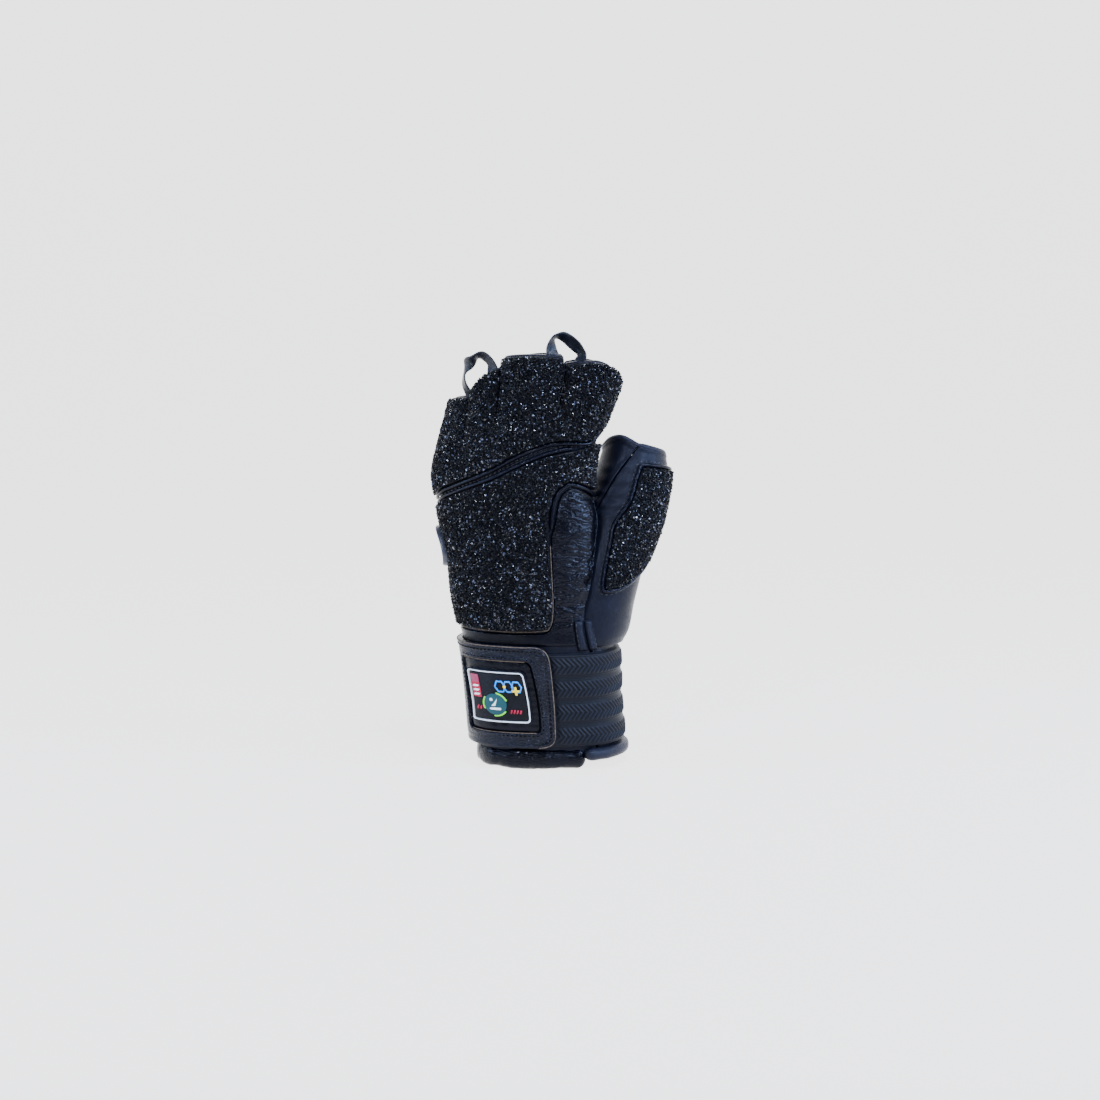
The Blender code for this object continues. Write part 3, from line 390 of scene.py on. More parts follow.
def make_piece(name, parts, replaced):
    """One object from parts of (points, faces, material, smooth, tone, flat pattern points)."""
    faces, materials, smooths, tones, flats, slots = [], [], [], [], [], []
    count = 0
    for points, own_faces, material, smooth, tone, flat in parts:
        faces += [[index + count for index in face] for face in own_faces]
        if material not in slots:
            slots.append(material)
        materials += [slots.index(material)] * len(own_faces)
        smooths += [smooth] * len(own_faces)
        tones.append(np.full(len(points), 0.5) if tone is None else tone)
        flats.append(points[:, [0, 2]] if flat is None else flat)
        count += len(points)
    points = np.concatenate([part[0] for part in parts])
    mesh = bpy.data.meshes.new(name)
    mesh.from_pydata(points.tolist(), [], faces)
    for material in slots:
        mesh.materials.append(material)
    mesh.polygons.foreach_set("material_index", materials)
    mesh.polygons.foreach_set("use_smooth", smooths)
    tone = mesh.attributes.new("tone", "FLOAT", "POINT")
    tone.data.foreach_set("value", np.concatenate(tones).astype(np.float32))
    layer = mesh.uv_layers.new(name="pattern")
    corners = np.zeros(len(mesh.loops), np.int32)
    mesh.loops.foreach_get("vertex_index", corners)
    flat = np.concatenate(flats)[corners] * 100
    layer.data.foreach_set("uv", flat.astype(np.float32).ravel())
    mesh.update()
    piece = bpy.data.objects.new(name, mesh)
    bpy.context.scene.collection.objects.link(piece)
    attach(piece, "root")
    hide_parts(*replaced)
    return piece


def facing_out(points, faces, outward):
    """The faces turned so that they look along the given outward directions."""
    a, b, c = (points[faces[:, k]] for k in range(3))
    normal = np.cross(b - a, c - a)
    wrong = np.einsum("ij,ij->i", normal, outward[faces[:, 0]]) < 0
    faces[wrong] = faces[wrong][:, ::-1]
    return faces


def flat_sheet(loops, spacing, edge):
    """Even triangles inside the first flat outline and outside the others, finer at the edges."""

    def within(points):
        """Which points lie on the sheet."""
        result = inside(loops[0], points)
        for hole in loops[1:]:
            result &= ~inside(hole, points)
        return result

    low, high = loops[0].min(0), loops[0].max(0)
    rows = []
    for index, y in enumerate(np.arange(low[1], high[1], spacing * ROW_STEP)):
        xs = np.arange(low[0] + (index % 2) * spacing / 2, high[0], spacing)
        rows.append(np.stack([xs, np.full(len(xs), y)], -1))
    grid = np.concatenate(rows)
    grid = grid[within(grid)]
    grid = grid[edge_distance(loops, grid) > edge + 0.4 * spacing]
    rings = []
    for share in (0.08, 0.30, 0.65, 1.0):
        for number, loop in enumerate(loops):
            run_vector = np.roll(loop, -1, 0) - np.roll(loop, 1, 0)
            normal = unit(np.stack([-run_vector[:, 1], run_vector[:, 0]], -1))
            area = np.sum(loop[:, 0] * np.roll(loop[:, 1], -1) - np.roll(loop[:, 0], -1) * loop[:, 1])
            sense = 1 if (area > 0) == (number == 0) else -1
            ring = loop + normal * sense * edge * share
            ring = ring[within(ring)]
            rings.append(ring[edge_distance(loops, ring) > edge * share * 0.9])
    points = np.concatenate([*loops, *rings, grid])
    edges = []
    first = 0
    for loop in loops:
        edges += [(first + i, first + (i + 1) % len(loop)) for i in range(len(loop))]
        first += len(loop)
    flat, _, triangles, *_ = delaunay_2d_cdt([Vector(p) for p in points], edges, [], 0, 1e-9)
    flat = np.array([tuple(p) for p in flat])
    faces = np.array([tuple(triangle) for triangle in triangles])
    return flat, faces[within(flat[faces].mean(1))]


def sheet_part(
    outline, form, inner, outer, material, spacing, edge, holes=(), relief=None, lined=False, trim=None
):
    """A finely divided sheet on a form, rounded down to its inner depth at its edges.

    Relief is a function of length round the form, length up it and distance from the edge. A
    lined sheet also has its inner face. Trim says which points are cut away.
    """
    run, flat_loops = flattened(form, outline, *holes)
    loops = [evened(loop, spacing) for loop in flat_loops]
    flat, faces = flat_sheet(loops, spacing, edge)
    turn = np.interp(flat[:, 0], run, form.turns)
    height = flat[:, 1] / GLOVE_HEIGHT
    apart = edge_distance(loops, flat)
    share = np.clip(apart / edge, 0, 1)
    thickness = (outer(turn, height) if callable(outer) else outer) - inner
    depth = inner + thickness * np.sqrt(np.maximum(1 - (1 - share) ** 2, 0))
    across = form.across(turn, height)
    if relief is not None:
        depth = depth + relief(across, flat[:, 1], apart) * smooth_step(0, edge * 1.5, apart)
    surface = form.points(turn, height, depth)
    outward = form.points(turn, height, depth + 0.001) - surface
    pattern = np.stack([across, flat[:, 1]], -1)
    if trim is not None:
        gone = trim(surface)
        faces = faces[~np.all(gone[faces], axis=1)]
    faces = facing_out(surface, faces, outward)
    parts = [(surface, faces.tolist(), material, True, None, pattern)]
    if lined:
        under = form.points(turn, height, inner)
        parts.append((under, faces[:, ::-1].tolist(), material, True, None, pattern))
    return parts


def path_on(form, pairs, depth, spacing):
    """Even points along pairs of turn and height, with the directions outwards there."""
    pairs = np.array(pairs, float)
    fine = []
    for a, b in zip(pairs[:-1], pairs[1:]):
        fine += [a + (b - a) * step / 12 for step in range(12)]
    fine = np.array(fine + [pairs[-1]])
    path = form.points(fine[:, 0], fine[:, 1], depth)
    run = run_along(path)
    stops = np.linspace(0, run[-1], max(int(run[-1] / spacing), 2) + 1)
    turn = np.interp(stops, run, fine[:, 0])
    height = np.interp(stops, run, fine[:, 1])
    centre = form.points(turn, height, depth)
    outward = unit(form.points(turn, height, depth + 0.001) - centre)
    return centre, outward, stops


def ring_faces(count, sides, closed=False):
    """Four-sided faces between rings of points that follow one another."""
    return [
        [
            station * sides + side,
            station * sides + (side + 1) % sides,
            (station + 1) % count * sides + (side + 1) % sides,
            (station + 1) % count * sides + side,
        ]
        for station in range(count if closed else count - 1)
        for side in range(sides)
    ]


def tube_part(centre, outward, half_width, half_depth, material, sides, square=2.0, closed=False):
    """A rounded tube along points. Square 2 is an oval section, and more is boxier."""
    count = len(centre)
    along = np.gradient(centre, axis=0)
    if closed:
        along = np.roll(centre, -1, 0) - np.roll(centre, 1, 0)
    along = unit(along)
    outward = unit(outward - along * np.sum(outward * along, axis=1, keepdims=True))
    sideways = np.cross(along, outward)
    angles = np.linspace(0, 2 * math.pi, sides, endpoint=False)
    a = np.sign(np.cos(angles)) * np.abs(np.cos(angles)) ** (2 / square)
    b = np.sign(np.sin(angles)) * np.abs(np.sin(angles)) ** (2 / square)
    wide, deep = (
        share * (half if np.ndim(half) == 2 else np.broadcast_to(half, count)[:, None])
        for half, share in ((half_width, a), (half_depth, b))
    )
    points = (
        centre[:, None]
        + sideways[:, None] * wide[..., None]
        + outward[:, None] * deep[..., None]
    )
    faces = ring_faces(count, sides, closed)
    if not closed:
        faces.append(list(range(sides))[::-1])
        faces.append(list(range((count - 1) * sides, count * sides)))
    run = run_along(centre)
    girth = angles / (2 * math.pi) * 0.02
    flat = np.stack(np.meshgrid(run, girth, indexing="ij"), -1).reshape(-1, 2)
    return (points.reshape(-1, 3), faces, material, True, None, flat)


def cord_part(form, pairs, depth, radius, material, sides=8, closed=False):
    """A thin round cord on a form, tapered to its ends."""
    centre, outward, stops = path_on(form, pairs, depth, 0.0010)
    if closed:
        return tube_part(centre[:-1], outward[:-1], radius, radius, material, sides, closed=True)
    near = np.minimum(stops, stops[-1] - stops)
    size = radius * (0.25 + 0.75 * np.sqrt(np.clip(near / (radius * 3), 0, 1)))
    return tube_part(centre, outward, size, size, material, sides)


def stitch_part(form, pairs, depth, material, length=0.0019, gap=0.0009, radius=0.00024):
    """A line of stitches, each a short thread that dips into the leather at both ends."""
    centre, outward, stops = path_on(form, pairs, depth, 0.0004)
    count = max(int(stops[-1] / (length + gap)), 1)
    sides = 6
    shape = np.array([0.0, 0.12, 0.5, 0.88, 1.0])
    thick = np.array([0.35, 0.85, 1.0, 0.85, 0.35])
    sunk = np.array([-1.8, -0.3, 0.25, -0.3, -1.8])
    points, faces = [], []
    for number in range(count):
        at = number * (length + gap) + length * shape + gap / 2
        where = np.stack([np.interp(at, stops, centre[:, k]) for k in range(3)], -1)
        out = unit(np.stack([np.interp(at, stops, outward[:, k]) for k in range(3)], -1))
        where = where + out * (sunk * radius)[:, None]
        part = tube_part(where, out, thick * radius, thick * radius, material, sides)
        first = len(points) * len(shape) * sides
        points.append(part[0])
        faces += [[index + first for index in face] for face in part[1]]
    return (np.concatenate(points), faces, material, True, None, None)


def crumb_part(outline, form, depth, spacing, size, material, seed, trim=None):
    """Angular rubber grains pressed side by side into a pad."""
    random = np.random.default_rng(seed)
    run, (loop,) = flattened(form, outline)
    low, high = loop.min(0), loop.max(0)
    across, up = np.meshgrid(
        np.arange(low[0], high[0], spacing), np.arange(low[1], high[1], spacing * ROW_STEP)
    )
    across = across + (np.arange(len(up)) % 2)[:, None] * spacing / 2
    seeds = np.stack([across.ravel(), up.ravel()], -1)
    seeds = seeds + random.uniform(-0.42, 0.42, seeds.shape) * spacing
    seeds = seeds[inside(loop, seeds)]
    seeds = seeds[edge_distance([loop], seeds) > GRAIN_MARGIN]
    turn = np.interp(seeds[:, 0], run, form.turns)
    height = seeds[:, 1] / GLOVE_HEIGHT
    place = form.points(turn, height, depth + random.uniform(-0.00025, 0.00030, len(seeds)))
    if trim is not None:
        place = place[~trim(place)]
    count = len(place)
    cube = np.array([(x, y, z) for x in (-1, 1) for y in (-1, 1) for z in (-1, 1)], float)
    quads = ((0, 1, 3, 2), (4, 6, 7, 5), (0, 4, 5, 1), (2, 3, 7, 6), (0, 2, 6, 4), (1, 5, 7, 3))
    triangles = [t for q in quads for t in ((q[0], q[1], q[2]), (q[0], q[2], q[3]))]
    grain = cube[None] * 0.62 + random.uniform(-0.34, 0.34, (count, 8, 3))
    grain *= random.uniform(0.70, 1.25, (count, 1, 3)) * size
    grain *= (random.uniform(0.62, 1.18, count) ** 1.2)[:, None, None]
    quaternion = unit(random.normal(size=(count, 4)))
    w, x, y, z = quaternion.T
    matrix = np.stack([
        1 - 2 * (y * y + z * z), 2 * (x * y - z * w), 2 * (x * z + y * w),
        2 * (x * y + z * w), 1 - 2 * (x * x + z * z), 2 * (y * z - x * w),
        2 * (x * z - y * w), 2 * (y * z + x * w), 1 - 2 * (x * x + y * y),
    ], -1).reshape(-1, 3, 3)
    points = place[:, None] + np.einsum("nij,nkj->nki", matrix, grain)
    faces = (np.array(triangles)[None] + (np.arange(count) * 8)[:, None, None]).reshape(-1, 3)
    tone = np.repeat(random.uniform(0, 1, count), 8)
    return (points.reshape(-1, 3), faces.tolist(), material, False, tone, None)


def shader_of(material):
    """The shader node that all of a material's looks go to."""
    return material.node_tree.nodes["Principled BSDF"]


def shader_material(name, colour, roughness, specular, sheen=0.0):
    """A material with its main numbers on the shader, and its nodes to add detail to."""
    material = bpy.data.materials.new(name)
    material.use_nodes = True
    for key, value in {
        "Base Color": (*colour, 1.0),
        "Roughness": roughness,
        "Specular IOR Level": specular,
        "Sheen Weight": sheen,
        "Sheen Roughness": 0.45,
    }.items():
        shader_of(material).inputs[key].default_value = value
    return material


def node(material, kind, **values):
    """A new node of a material, with its properties and input values set."""
    made = material.node_tree.nodes.new(kind)
    for key, value in values.items():
        if hasattr(made, key):
            setattr(made, key, value)
        else:
            made.inputs[key.replace("_", " ")].default_value = value
    return made


def link(material, source, out, target, into):
    """A link from an output of one node to an input of another."""
    material.node_tree.links.new(source.outputs[out], target.inputs[into])


def texture(material, kind, coordinate="Object", **values):
    """A texture node laid out by a coordinate of the mesh."""
    made = node(material, kind, **values)
    link(material, node(material, "ShaderNodeTexCoord"), coordinate, made, "Vector")
    return made


def colour_ramp(material, source, out, *stops):
    """Base colour from a node's value, by stops of (value, colour)."""
    ramp = node(material, "ShaderNodeValToRGB")
    elements = ramp.color_ramp.elements
    elements.remove(elements[1])
    elements[0].position = stops[0][0]
    elements[0].color = (*stops[0][1], 1)
    for value, colour in stops[1:]:
        elements.new(value).color = (*colour, 1)
    link(material, source, out, ramp, "Fac")
    link(material, ramp, "Color", shader_of(material), "Base Color")


def add_colour_noise(material, scale, dark, light, low=0.35, high=0.70):
    """Base colour that drifts between two colours."""
    noise = texture(material, "ShaderNodeTexNoise", Scale=scale, Detail=5.0, Roughness=0.6)
    colour_ramp(material, noise, "Fac", (low, dark), (high, light))


def add_range(material, source, out, low, high, target, **values):
    """A shader value that goes from low to high as a node's value does over its range."""
    spread = node(material, "ShaderNodeMapRange", To_Min=low, To_Max=high, **values)
    link(material, source, out, spread, "Value")
    link(material, spread, "Result", shader_of(material), target)


def add_bump(material, height_node, out, strength, distance, before=None):
    """A bump from a node's height, chained after an earlier bump if one is given."""
    bump = node(material, "ShaderNodeBump", Strength=strength, Distance=distance)
    link(material, height_node, out, bump, "Height")
    if before is not None:
        link(material, before, "Normal", bump, "Normal")
    link(material, bump, "Normal", shader_of(material), "Normal")
    return bump


LEATHER_SHINE = (0.74, 0.77, 0.96, 1.0)


def leather_material(name, colour, light, roughness, cell, depth, specular):
    """Leather with a pebbled grain of a given cell size, fine pores and drifting shine."""
    material = shader_material(name, colour, roughness, specular)
    shader_of(material).inputs["Specular Tint"].default_value = LEATHER_SHINE
    add_colour_noise(material, 60.0, colour, light)
    drift = texture(material, "ShaderNodeTexNoise", Scale=90.0, Detail=4.0)
    add_range(
        material, drift, "Fac", roughness - 0.06, roughness + 0.06, "Roughness",
        From_Min=0.3, From_Max=0.7,
    )
    place = node(material, "ShaderNodeTexCoord")
    bent = texture(material, "ShaderNodeTexNoise", Scale=0.35 / cell, Detail=2.0)
    shift = node(material, "ShaderNodeMix", data_type="RGBA", blend_type="LINEAR_LIGHT")
    shift.inputs["Factor"].default_value = cell * 0.30
    cells = node(
        material, "ShaderNodeTexVoronoi", feature="DISTANCE_TO_EDGE", Scale=1.0 / cell
    )
    # The colour sockets of a mix node are its seventh and eighth inputs and third output
    link(material, place, "Object", shift, 6)
    link(material, bent, "Color", shift, 7)
    link(material, shift, 2, cells, "Vector")
    pebble = node(
        material, "ShaderNodeMapRange", interpolation_type="SMOOTHSTEP", From_Max=0.22
    )
    link(material, cells, "Distance", pebble, "Value")
    grain = add_bump(material, pebble, "Result", depth, 0.00030)
    pores = texture(
        material, "ShaderNodeTexNoise", Scale=3.2 / cell, Detail=6.0, Roughness=0.7
    )
    add_bump(material, pores, "Fac", depth * 0.15, 0.00018, grain)
    return material


matte_leather = leather_material(
    "matte_leather", (0.0015, 0.0018, 0.0048), (0.0034, 0.0043, 0.0092), 0.33, 0.00085, 0.30, 0.12
)
shiny_leather = leather_material(
    "shiny_leather", (0.0006, 0.0007, 0.0016), (0.0012, 0.0014, 0.0034), 0.16, 0.00090, 0.22, 0.13
)
pebbled_leather = leather_material(
    "pebbled_leather", (0.0008, 0.0011, 0.0030), (0.0018, 0.0026, 0.0070), 0.20, 0.00120, 0.60, 0.17
)
roll_leather = leather_material(
    "roll_leather", (0.0004, 0.0005, 0.0014), (0.0009, 0.0012, 0.0034), 0.13, 0.00130, 0.42, 0.12
)
soft_leather = leather_material(
    "soft_leather", (0.0046, 0.0052, 0.0100), (0.0078, 0.0090, 0.0165), 0.36, 0.00080, 0.30, 0.14
)
piping_leather = leather_material(
    "piping_leather", (0.0008, 0.0010, 0.0028), (0.0014, 0.0019, 0.0056), 0.18, 0.00070, 0.20, 0.13
)

crumb_rubber = shader_material("rubber_crumb", (0.002, 0.0022, 0.0035), 0.32, 0.5)
tone = node(crumb_rubber, "ShaderNodeAttribute", attribute_name="tone")
colour_ramp(
    crumb_rubber, tone, "Fac", (0.0, (0.0008, 0.0009, 0.0018)), (0.93, (0.0036, 0.0042, 0.0075)),
    (0.985, (0.055, 0.065, 0.105)),
)
for name, dull, bright in (("Specular IOR Level", 0.08, 0.60), ("Roughness", 0.40, 0.12)):
    add_range(crumb_rubber, tone, "Fac", dull, bright, name, From_Min=0.70, From_Max=0.90)
pits = texture(crumb_rubber, "ShaderNodeTexNoise", Scale=5200.0, Detail=3.0)
add_bump(crumb_rubber, pits, "Fac", 0.35, 0.00010)

elastic_cloth = shader_material("elastic_webbing", (0.002, 0.0025, 0.005), 0.46, 0.08, 0.02)
# Colour from the strap's weave: painted shade in the hollows of the weave and between its ribs, lighter
# on the raised yarn.
tone = node(elastic_cloth, "ShaderNodeAttribute", attribute_name="tone")
colour_ramp(
    elastic_cloth, tone, "Fac", (0.0, (0.0003, 0.0004, 0.0009)), (1.0, (0.0070, 0.0088, 0.0165))
)
yarn = texture(elastic_cloth, "ShaderNodeTexNoise", Scale=3800.0, Detail=2.0)
add_bump(elastic_cloth, yarn, "Fac", 0.45, 0.00015)

ribbon_cloth = shader_material("ribbon", (0.0030, 0.0040, 0.0100), 0.36, 0.30, 0.02)
add_colour_noise(ribbon_cloth, 300.0, (0.0016, 0.0024, 0.0065), (0.0036, 0.0052, 0.0130))
weft = texture(
    ribbon_cloth, "ShaderNodeTexWave", "UV", Scale=9.0, wave_type="BANDS", bands_direction="X"
)
add_bump(ribbon_cloth, weft, "Fac", 0.55, 0.00012)

thread = shader_material("thread", (0.0030, 0.0036, 0.0070), 0.34, 0.40)
# Thread of the flap's stitches, darker than the other thread: painted shade of the holes it is sewn
# through.
shade_darkened_thread = shader_material("shade_darkened_thread", (0.0003, 0.0003, 0.0006), 0.60, 0.05)
raw_edge = shader_material("raw_edge", (0.075, 0.056, 0.042), 0.75, 0.2)
add_colour_noise(raw_edge, 900.0, (0.014, 0.011, 0.011), (0.105, 0.080, 0.060), 0.30, 0.70)
border_rubber = shader_material("border_rubber", (0.62, 0.66, 0.72), 0.42, 0.5)
add_colour_noise(border_rubber, 220.0, (0.56, 0.60, 0.67), (0.70, 0.74, 0.80))
patch_rubber = shader_material("patch_rubber", (0.0030, 0.0036, 0.0060), 0.36, 0.16)
add_colour_noise(patch_rubber, 300.0, (0.0024, 0.0028, 0.0050), (0.0055, 0.0062, 0.0100))
emblem_rubber = shader_material("emblem_rubber", (0.050, 0.055, 0.075), 0.34, 0.5)
add_colour_noise(emblem_rubber, 240.0, (0.034, 0.038, 0.055), (0.080, 0.088, 0.120))
button_rubber = shader_material("button_rubber", (0.030, 0.034, 0.050), 0.32, 0.40)
twill_ground = shader_material("badge_twill", (0.0024, 0.0028, 0.0050), 0.40, 0.10)
add_colour_noise(twill_ground, 500.0, (0.0016, 0.0019, 0.0036), (0.0036, 0.0042, 0.0076))
twill = texture(
    twill_ground, "ShaderNodeTexWave", "UV", Scale=7.0, wave_type="BANDS",
    bands_direction="DIAGONAL",
)
add_bump(twill_ground, twill, "Fac", 0.60, 0.00018)


def print_material(name, colour):
    """Coloured rubber of a badge motif, a little uneven."""
    material = shader_material(name, colour, 0.45, 0.2)
    dark = tuple(value * 0.85 for value in colour)
    light = tuple(min(value * 1.12, 1) for value in colour)
    add_colour_noise(material, 420.0, dark, light)
    return material


def rim(turn):
    """Share of GLOVE_HEIGHT that the stubs' rim reaches at a turn."""
    share = turn if turn <= 1.5 else 3 - turn
    stub = next((stub for stub in STUBS if share <= stub.end), STUBS[-1])
    t = min(max((share - stub.start) / (stub.end - stub.start), 0.0), 1.0)
    left = stub.start_rim * (1 - t) * (1 - 2 * t)
    middle = stub.middle_rim * 4 * t * (1 - t)
    return left + middle + stub.end_rim * t * (2 * t - 1)


def turn_for(length, turn, height, depth, form=hand):
    """How much turn covers a real length at one place of a form."""
    near, far = form.points(np.array([turn - 0.01, turn + 0.01]), height, depth)
    return length * 0.02 / float(np.linalg.norm(far - near))


# Half the gap at each slit between two stubs
LEATHER_GAPS = (0.00015, 0.00015, 0.00060)
CRUMB_GAPS = (0.00008, 0.00008, 0.00050)


def stub_edge(start, end, drop, gaps):
    """Marks along the stubs' rims from one turn to a higher one, down into each slit on the way."""
    lower = drop / GLOVE_HEIGHT
    slits = [(slit.turn, slit.crotch, gap) for slit, gap in zip(SLITS, gaps)]
    slits += [(3 - middle, crotch, gap) for middle, crotch, gap in slits]
    bands = []
    for middle, crotch, gap in sorted(slits):
        if not start < middle < end:
            continue
        half = turn_for(gap, middle, 0.95, 0)
        corner = turn_for(0.0009, middle, 0.95, 0)
        near, far = middle - half, middle + half
        bands.append((middle, half * 1.2 + corner, [
            (near - corner, rim(near) - lower),
            (near, rim(near) - lower - 0.004),
            (near, crotch + 0.004),
            (near + half * 0.5, crotch),
            (far - half * 0.5, crotch),
            (far, crotch + 0.004),
            (far, rim(far) - lower - 0.004),
            (far + corner, rim(far) - lower),
        ]))
    ahead = list(bands)
    pairs = []
    count = max(int((end - start) / TURN_STEP), 1)
    for step in range(count + 1):
        turn = start + (end - start) * step / count
        while ahead and turn > ahead[0][0]:
            pairs += ahead.pop(0)[2]
        if all(abs(turn - middle) > half for middle, half, _ in bands):
            pairs.append((turn, rim(turn) - lower))
    return pairs


def shifted(pairs, turn=0.0, height=0.0):
    """Pairs moved by a turn and a height."""
    return [(mark[0] + turn, mark[1] + height) for mark in pairs]


def offset(pairs, distance, form, depth, closed=True):
    """Pairs moved sideways by a real distance: inwards on an outline, or to one side of a run."""
    flat = np.array(pairs, float)
    per_turn = np.array([1 / turn_for(1.0, t, h, depth, form) for t, h in flat])
    if closed:
        ahead, behind = np.roll(flat, -1, 0), np.roll(flat, 1, 0)
        doubled = np.sum(flat[:, 0] * ahead[:, 1] - ahead[:, 0] * flat[:, 1])
        sense = 1 if doubled > 0 else -1
    else:
        ahead = np.concatenate([flat[1:], flat[-1:]])
        behind = np.concatenate([flat[:1], flat[:-1]])
        sense = 1
    run = unit(np.stack([(ahead - behind)[:, 0] * per_turn, (ahead - behind)[:, 1] * GLOVE_HEIGHT], -1))
    return [
        (turn - sense * ry * distance / scale, height + sense * rx * distance / GLOVE_HEIGHT)
        for (turn, height), (rx, ry), scale in zip(flat, run, per_turn)
    ]


# Patterns of the panels, as pairs of turn and height
SEAM_BACK_PALM = (
    (-0.1000, 0.0547), (-0.1000, 0.200), (-0.1000, 0.366), (-0.1350, 0.424), (-0.1800, 0.477),
    (-0.2450, 0.564), (-0.3100, 0.607), (-0.4200, 0.650), (-0.5000, 0.720), (-0.5000, 0.900),
)
ULNAR_SEAM = 1.500
SLIT_UPPER = (
    (1.400, 0.640), (1.244, 0.646), (1.030, 0.668), (0.828, 0.691), (0.579, 0.723),
    (0.371, 0.760), (0.229, 0.780), (0.142, 0.789), (0.047, 0.791), (-0.080, 0.789),
    (-0.166, 0.790), (-0.256, 0.801), (-0.351, 0.817), (-0.453, 0.832),
)
SLIT_LOWER = (
    (1.400, 0.628), (1.246, 0.633), (1.030, 0.654), (0.828, 0.677), (0.580, 0.705),
    (0.367, 0.738), (0.223, 0.760), (0.085, 0.774), (0.000, 0.779),
)
PAD_HAND_RIGHT = (
    (-0.100, 0.778), (-0.250, 0.786), (-0.380, 0.786), (-0.430, 0.770), (-0.440, 0.720),
    (-0.440, 0.680),
)
PAD_HAND_ARCH = (
    (-0.380, 0.672), (-0.206, 0.684), (-0.051, 0.699), (0.020, 0.697), (0.092, 0.681),
    (0.145, 0.654), (0.182, 0.620), (0.196, 0.590),
)
PAD_HAND_LOWER = (
    (0.202, 0.549), (0.210, 0.482), (0.219, 0.415), (0.244, 0.371), (0.290, 0.352),
    (0.353, 0.345), (0.735, 0.341), (1.106, 0.342), (1.420, 0.345),
)
WEB_ARCH = (
    (-0.330, 0.658), (-0.206, 0.677), (-0.051, 0.692), (0.013, 0.690), (0.082, 0.674),
    (0.130, 0.648), (0.161, 0.615), (0.176, 0.585),
)
WEB_RIGHT = (
    (-0.020, 0.375), (-0.060, 0.378), (-0.115, 0.424), (-0.162, 0.477), (-0.225, 0.564),
    (-0.285, 0.607), (-0.340, 0.632),
)
THUMB_RIM = (
    (-2.000, 0.768), (-1.500, 0.772), (-1.000, 0.770), (-0.600, 0.790), (-0.300, 0.794),
    (0.000, 0.780), (0.360, 0.768), (0.800, 0.756), (1.100, 0.748), (1.500, 0.752),
    (2.000, 0.768),
)
THUMB_SEAM = (
    (0.076, 0.778), (-0.080, 0.750), (-0.221, 0.720), (-0.340, 0.682), (-0.429, 0.646),
    (-0.560, 0.600), (-0.750, 0.550), (-0.900, 0.480), (-0.900, 0.297),
)
THUMB_PAD = (
    (0.110, 0.724), (0.170, 0.731), (0.450, 0.727), (0.718, 0.721), (1.000, 0.712),
    (1.200, 0.700), (1.260, 0.670), (1.280, 0.600), (1.240, 0.540), (1.100, 0.512),
    (0.800, 0.485), (0.560, 0.463), (0.439, 0.450), (0.270, 0.438), (0.080, 0.434),
    (0.010, 0.442), (-0.020, 0.470), (-0.050, 0.510), (-0.092, 0.549), (-0.120, 0.580),
    (-0.086, 0.603), (0.023, 0.636), (0.063, 0.660), (0.080, 0.700),
)
BADGE_CENTRE = (1.060, 0.1830)
BADGE_HALF_WIDTH = 0.0178
BADGE_HALF_HEIGHT = 0.0146
BADGE_CORNER = 0.0022
WINDOW_MARGIN = 0.0052
EMBLEM_CENTRE = (1.330, 0.5275)

# Camera
scene = bpy.context.scene
camera_data = bpy.data.cameras.new("camera")
camera = bpy.data.objects.new("camera", camera_data)
scene.collection.objects.link(camera)
scene.camera = camera
camera.location = CAMERA_TARGET + CAMERA_DISTANCE * Vector(
    (0, -math.cos(CAMERA_PITCH), math.sin(CAMERA_PITCH))
)
camera.rotation_euler = (math.pi / 2 - CAMERA_PITCH, 0, 0)
camera_data.sensor_width = SENSOR
camera_data.lens = FOCAL_PIXELS / PHOTO_WIDTH * SENSOR

leather_bottom = LEATHER_BOTTOM / GLOVE_HEIGHT
thumb_cut = partial(in_thumb, depth=LEATHER * 0.5)
hand_cut = partial(in_hand, depth=LEATHER * 0.5)


def leather_relief(across, up, apart):
    """Slow unevenness of leather over a hand."""
    slow = waves(across, up, 0.017, 3) * 0.00030
    fine = waves(across * 0.6, up, 0.0045, 4) * 0.00008
    return slow + fine


# Back and palm of the hand
seam = [(-0.1000, leather_bottom)] + spline(SEAM_BACK_PALM, 6)
back = shifted(seam, SEAM_GAP)
back += stub_edge(-0.5 + SEAM_GAP, ULNAR_SEAM - SEAM_GAP, 0, LEATHER_GAPS)
back += [(ULNAR_SEAM - SEAM_GAP, leather_bottom)]
make_piece(
    "back_leather",
    sheet_part(
        back, hand, 0.0, LEATHER, matte_leather, 0.0018, 0.0009,
        relief=leather_relief, lined=True, trim=thumb_cut,
    ),
    ["back_panel"],
)
palm = shifted(seam[::-1], 4 - SEAM_GAP) + [(ULNAR_SEAM + SEAM_GAP, leather_bottom)]
palm += stub_edge(ULNAR_SEAM + SEAM_GAP, 3.5 - SEAM_GAP, 0, LEATHER_GAPS)


def palm_relief(across, up, apart):
    """Palm leather with soft creases across the base of the fingers."""
    crease = ridge(up - 0.172 + 0.006 * np.sin(across * 60), 0.0016)
    crease += ridge(up - 0.128 - 0.010 * np.sin(across * 40), 0.0018) * 0.8
    return leather_relief(across, up, apart) - crease * 0.00055


make_piece(
    "palm_leather",
    sheet_part(
        palm, hand, 0.0, LEATHER, matte_leather, 0.0019, 0.0009,
        relief=palm_relief, lined=True, trim=thumb_cut,
    ),
    ["palm_panel"],
)

for name in ("fourchette_index_middle", "fourchette_middle_ring", "fourchette_ring_little"):
    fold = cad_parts[name]
    fold.data.materials.clear()
    fold.data.materials.append(matte_leather)

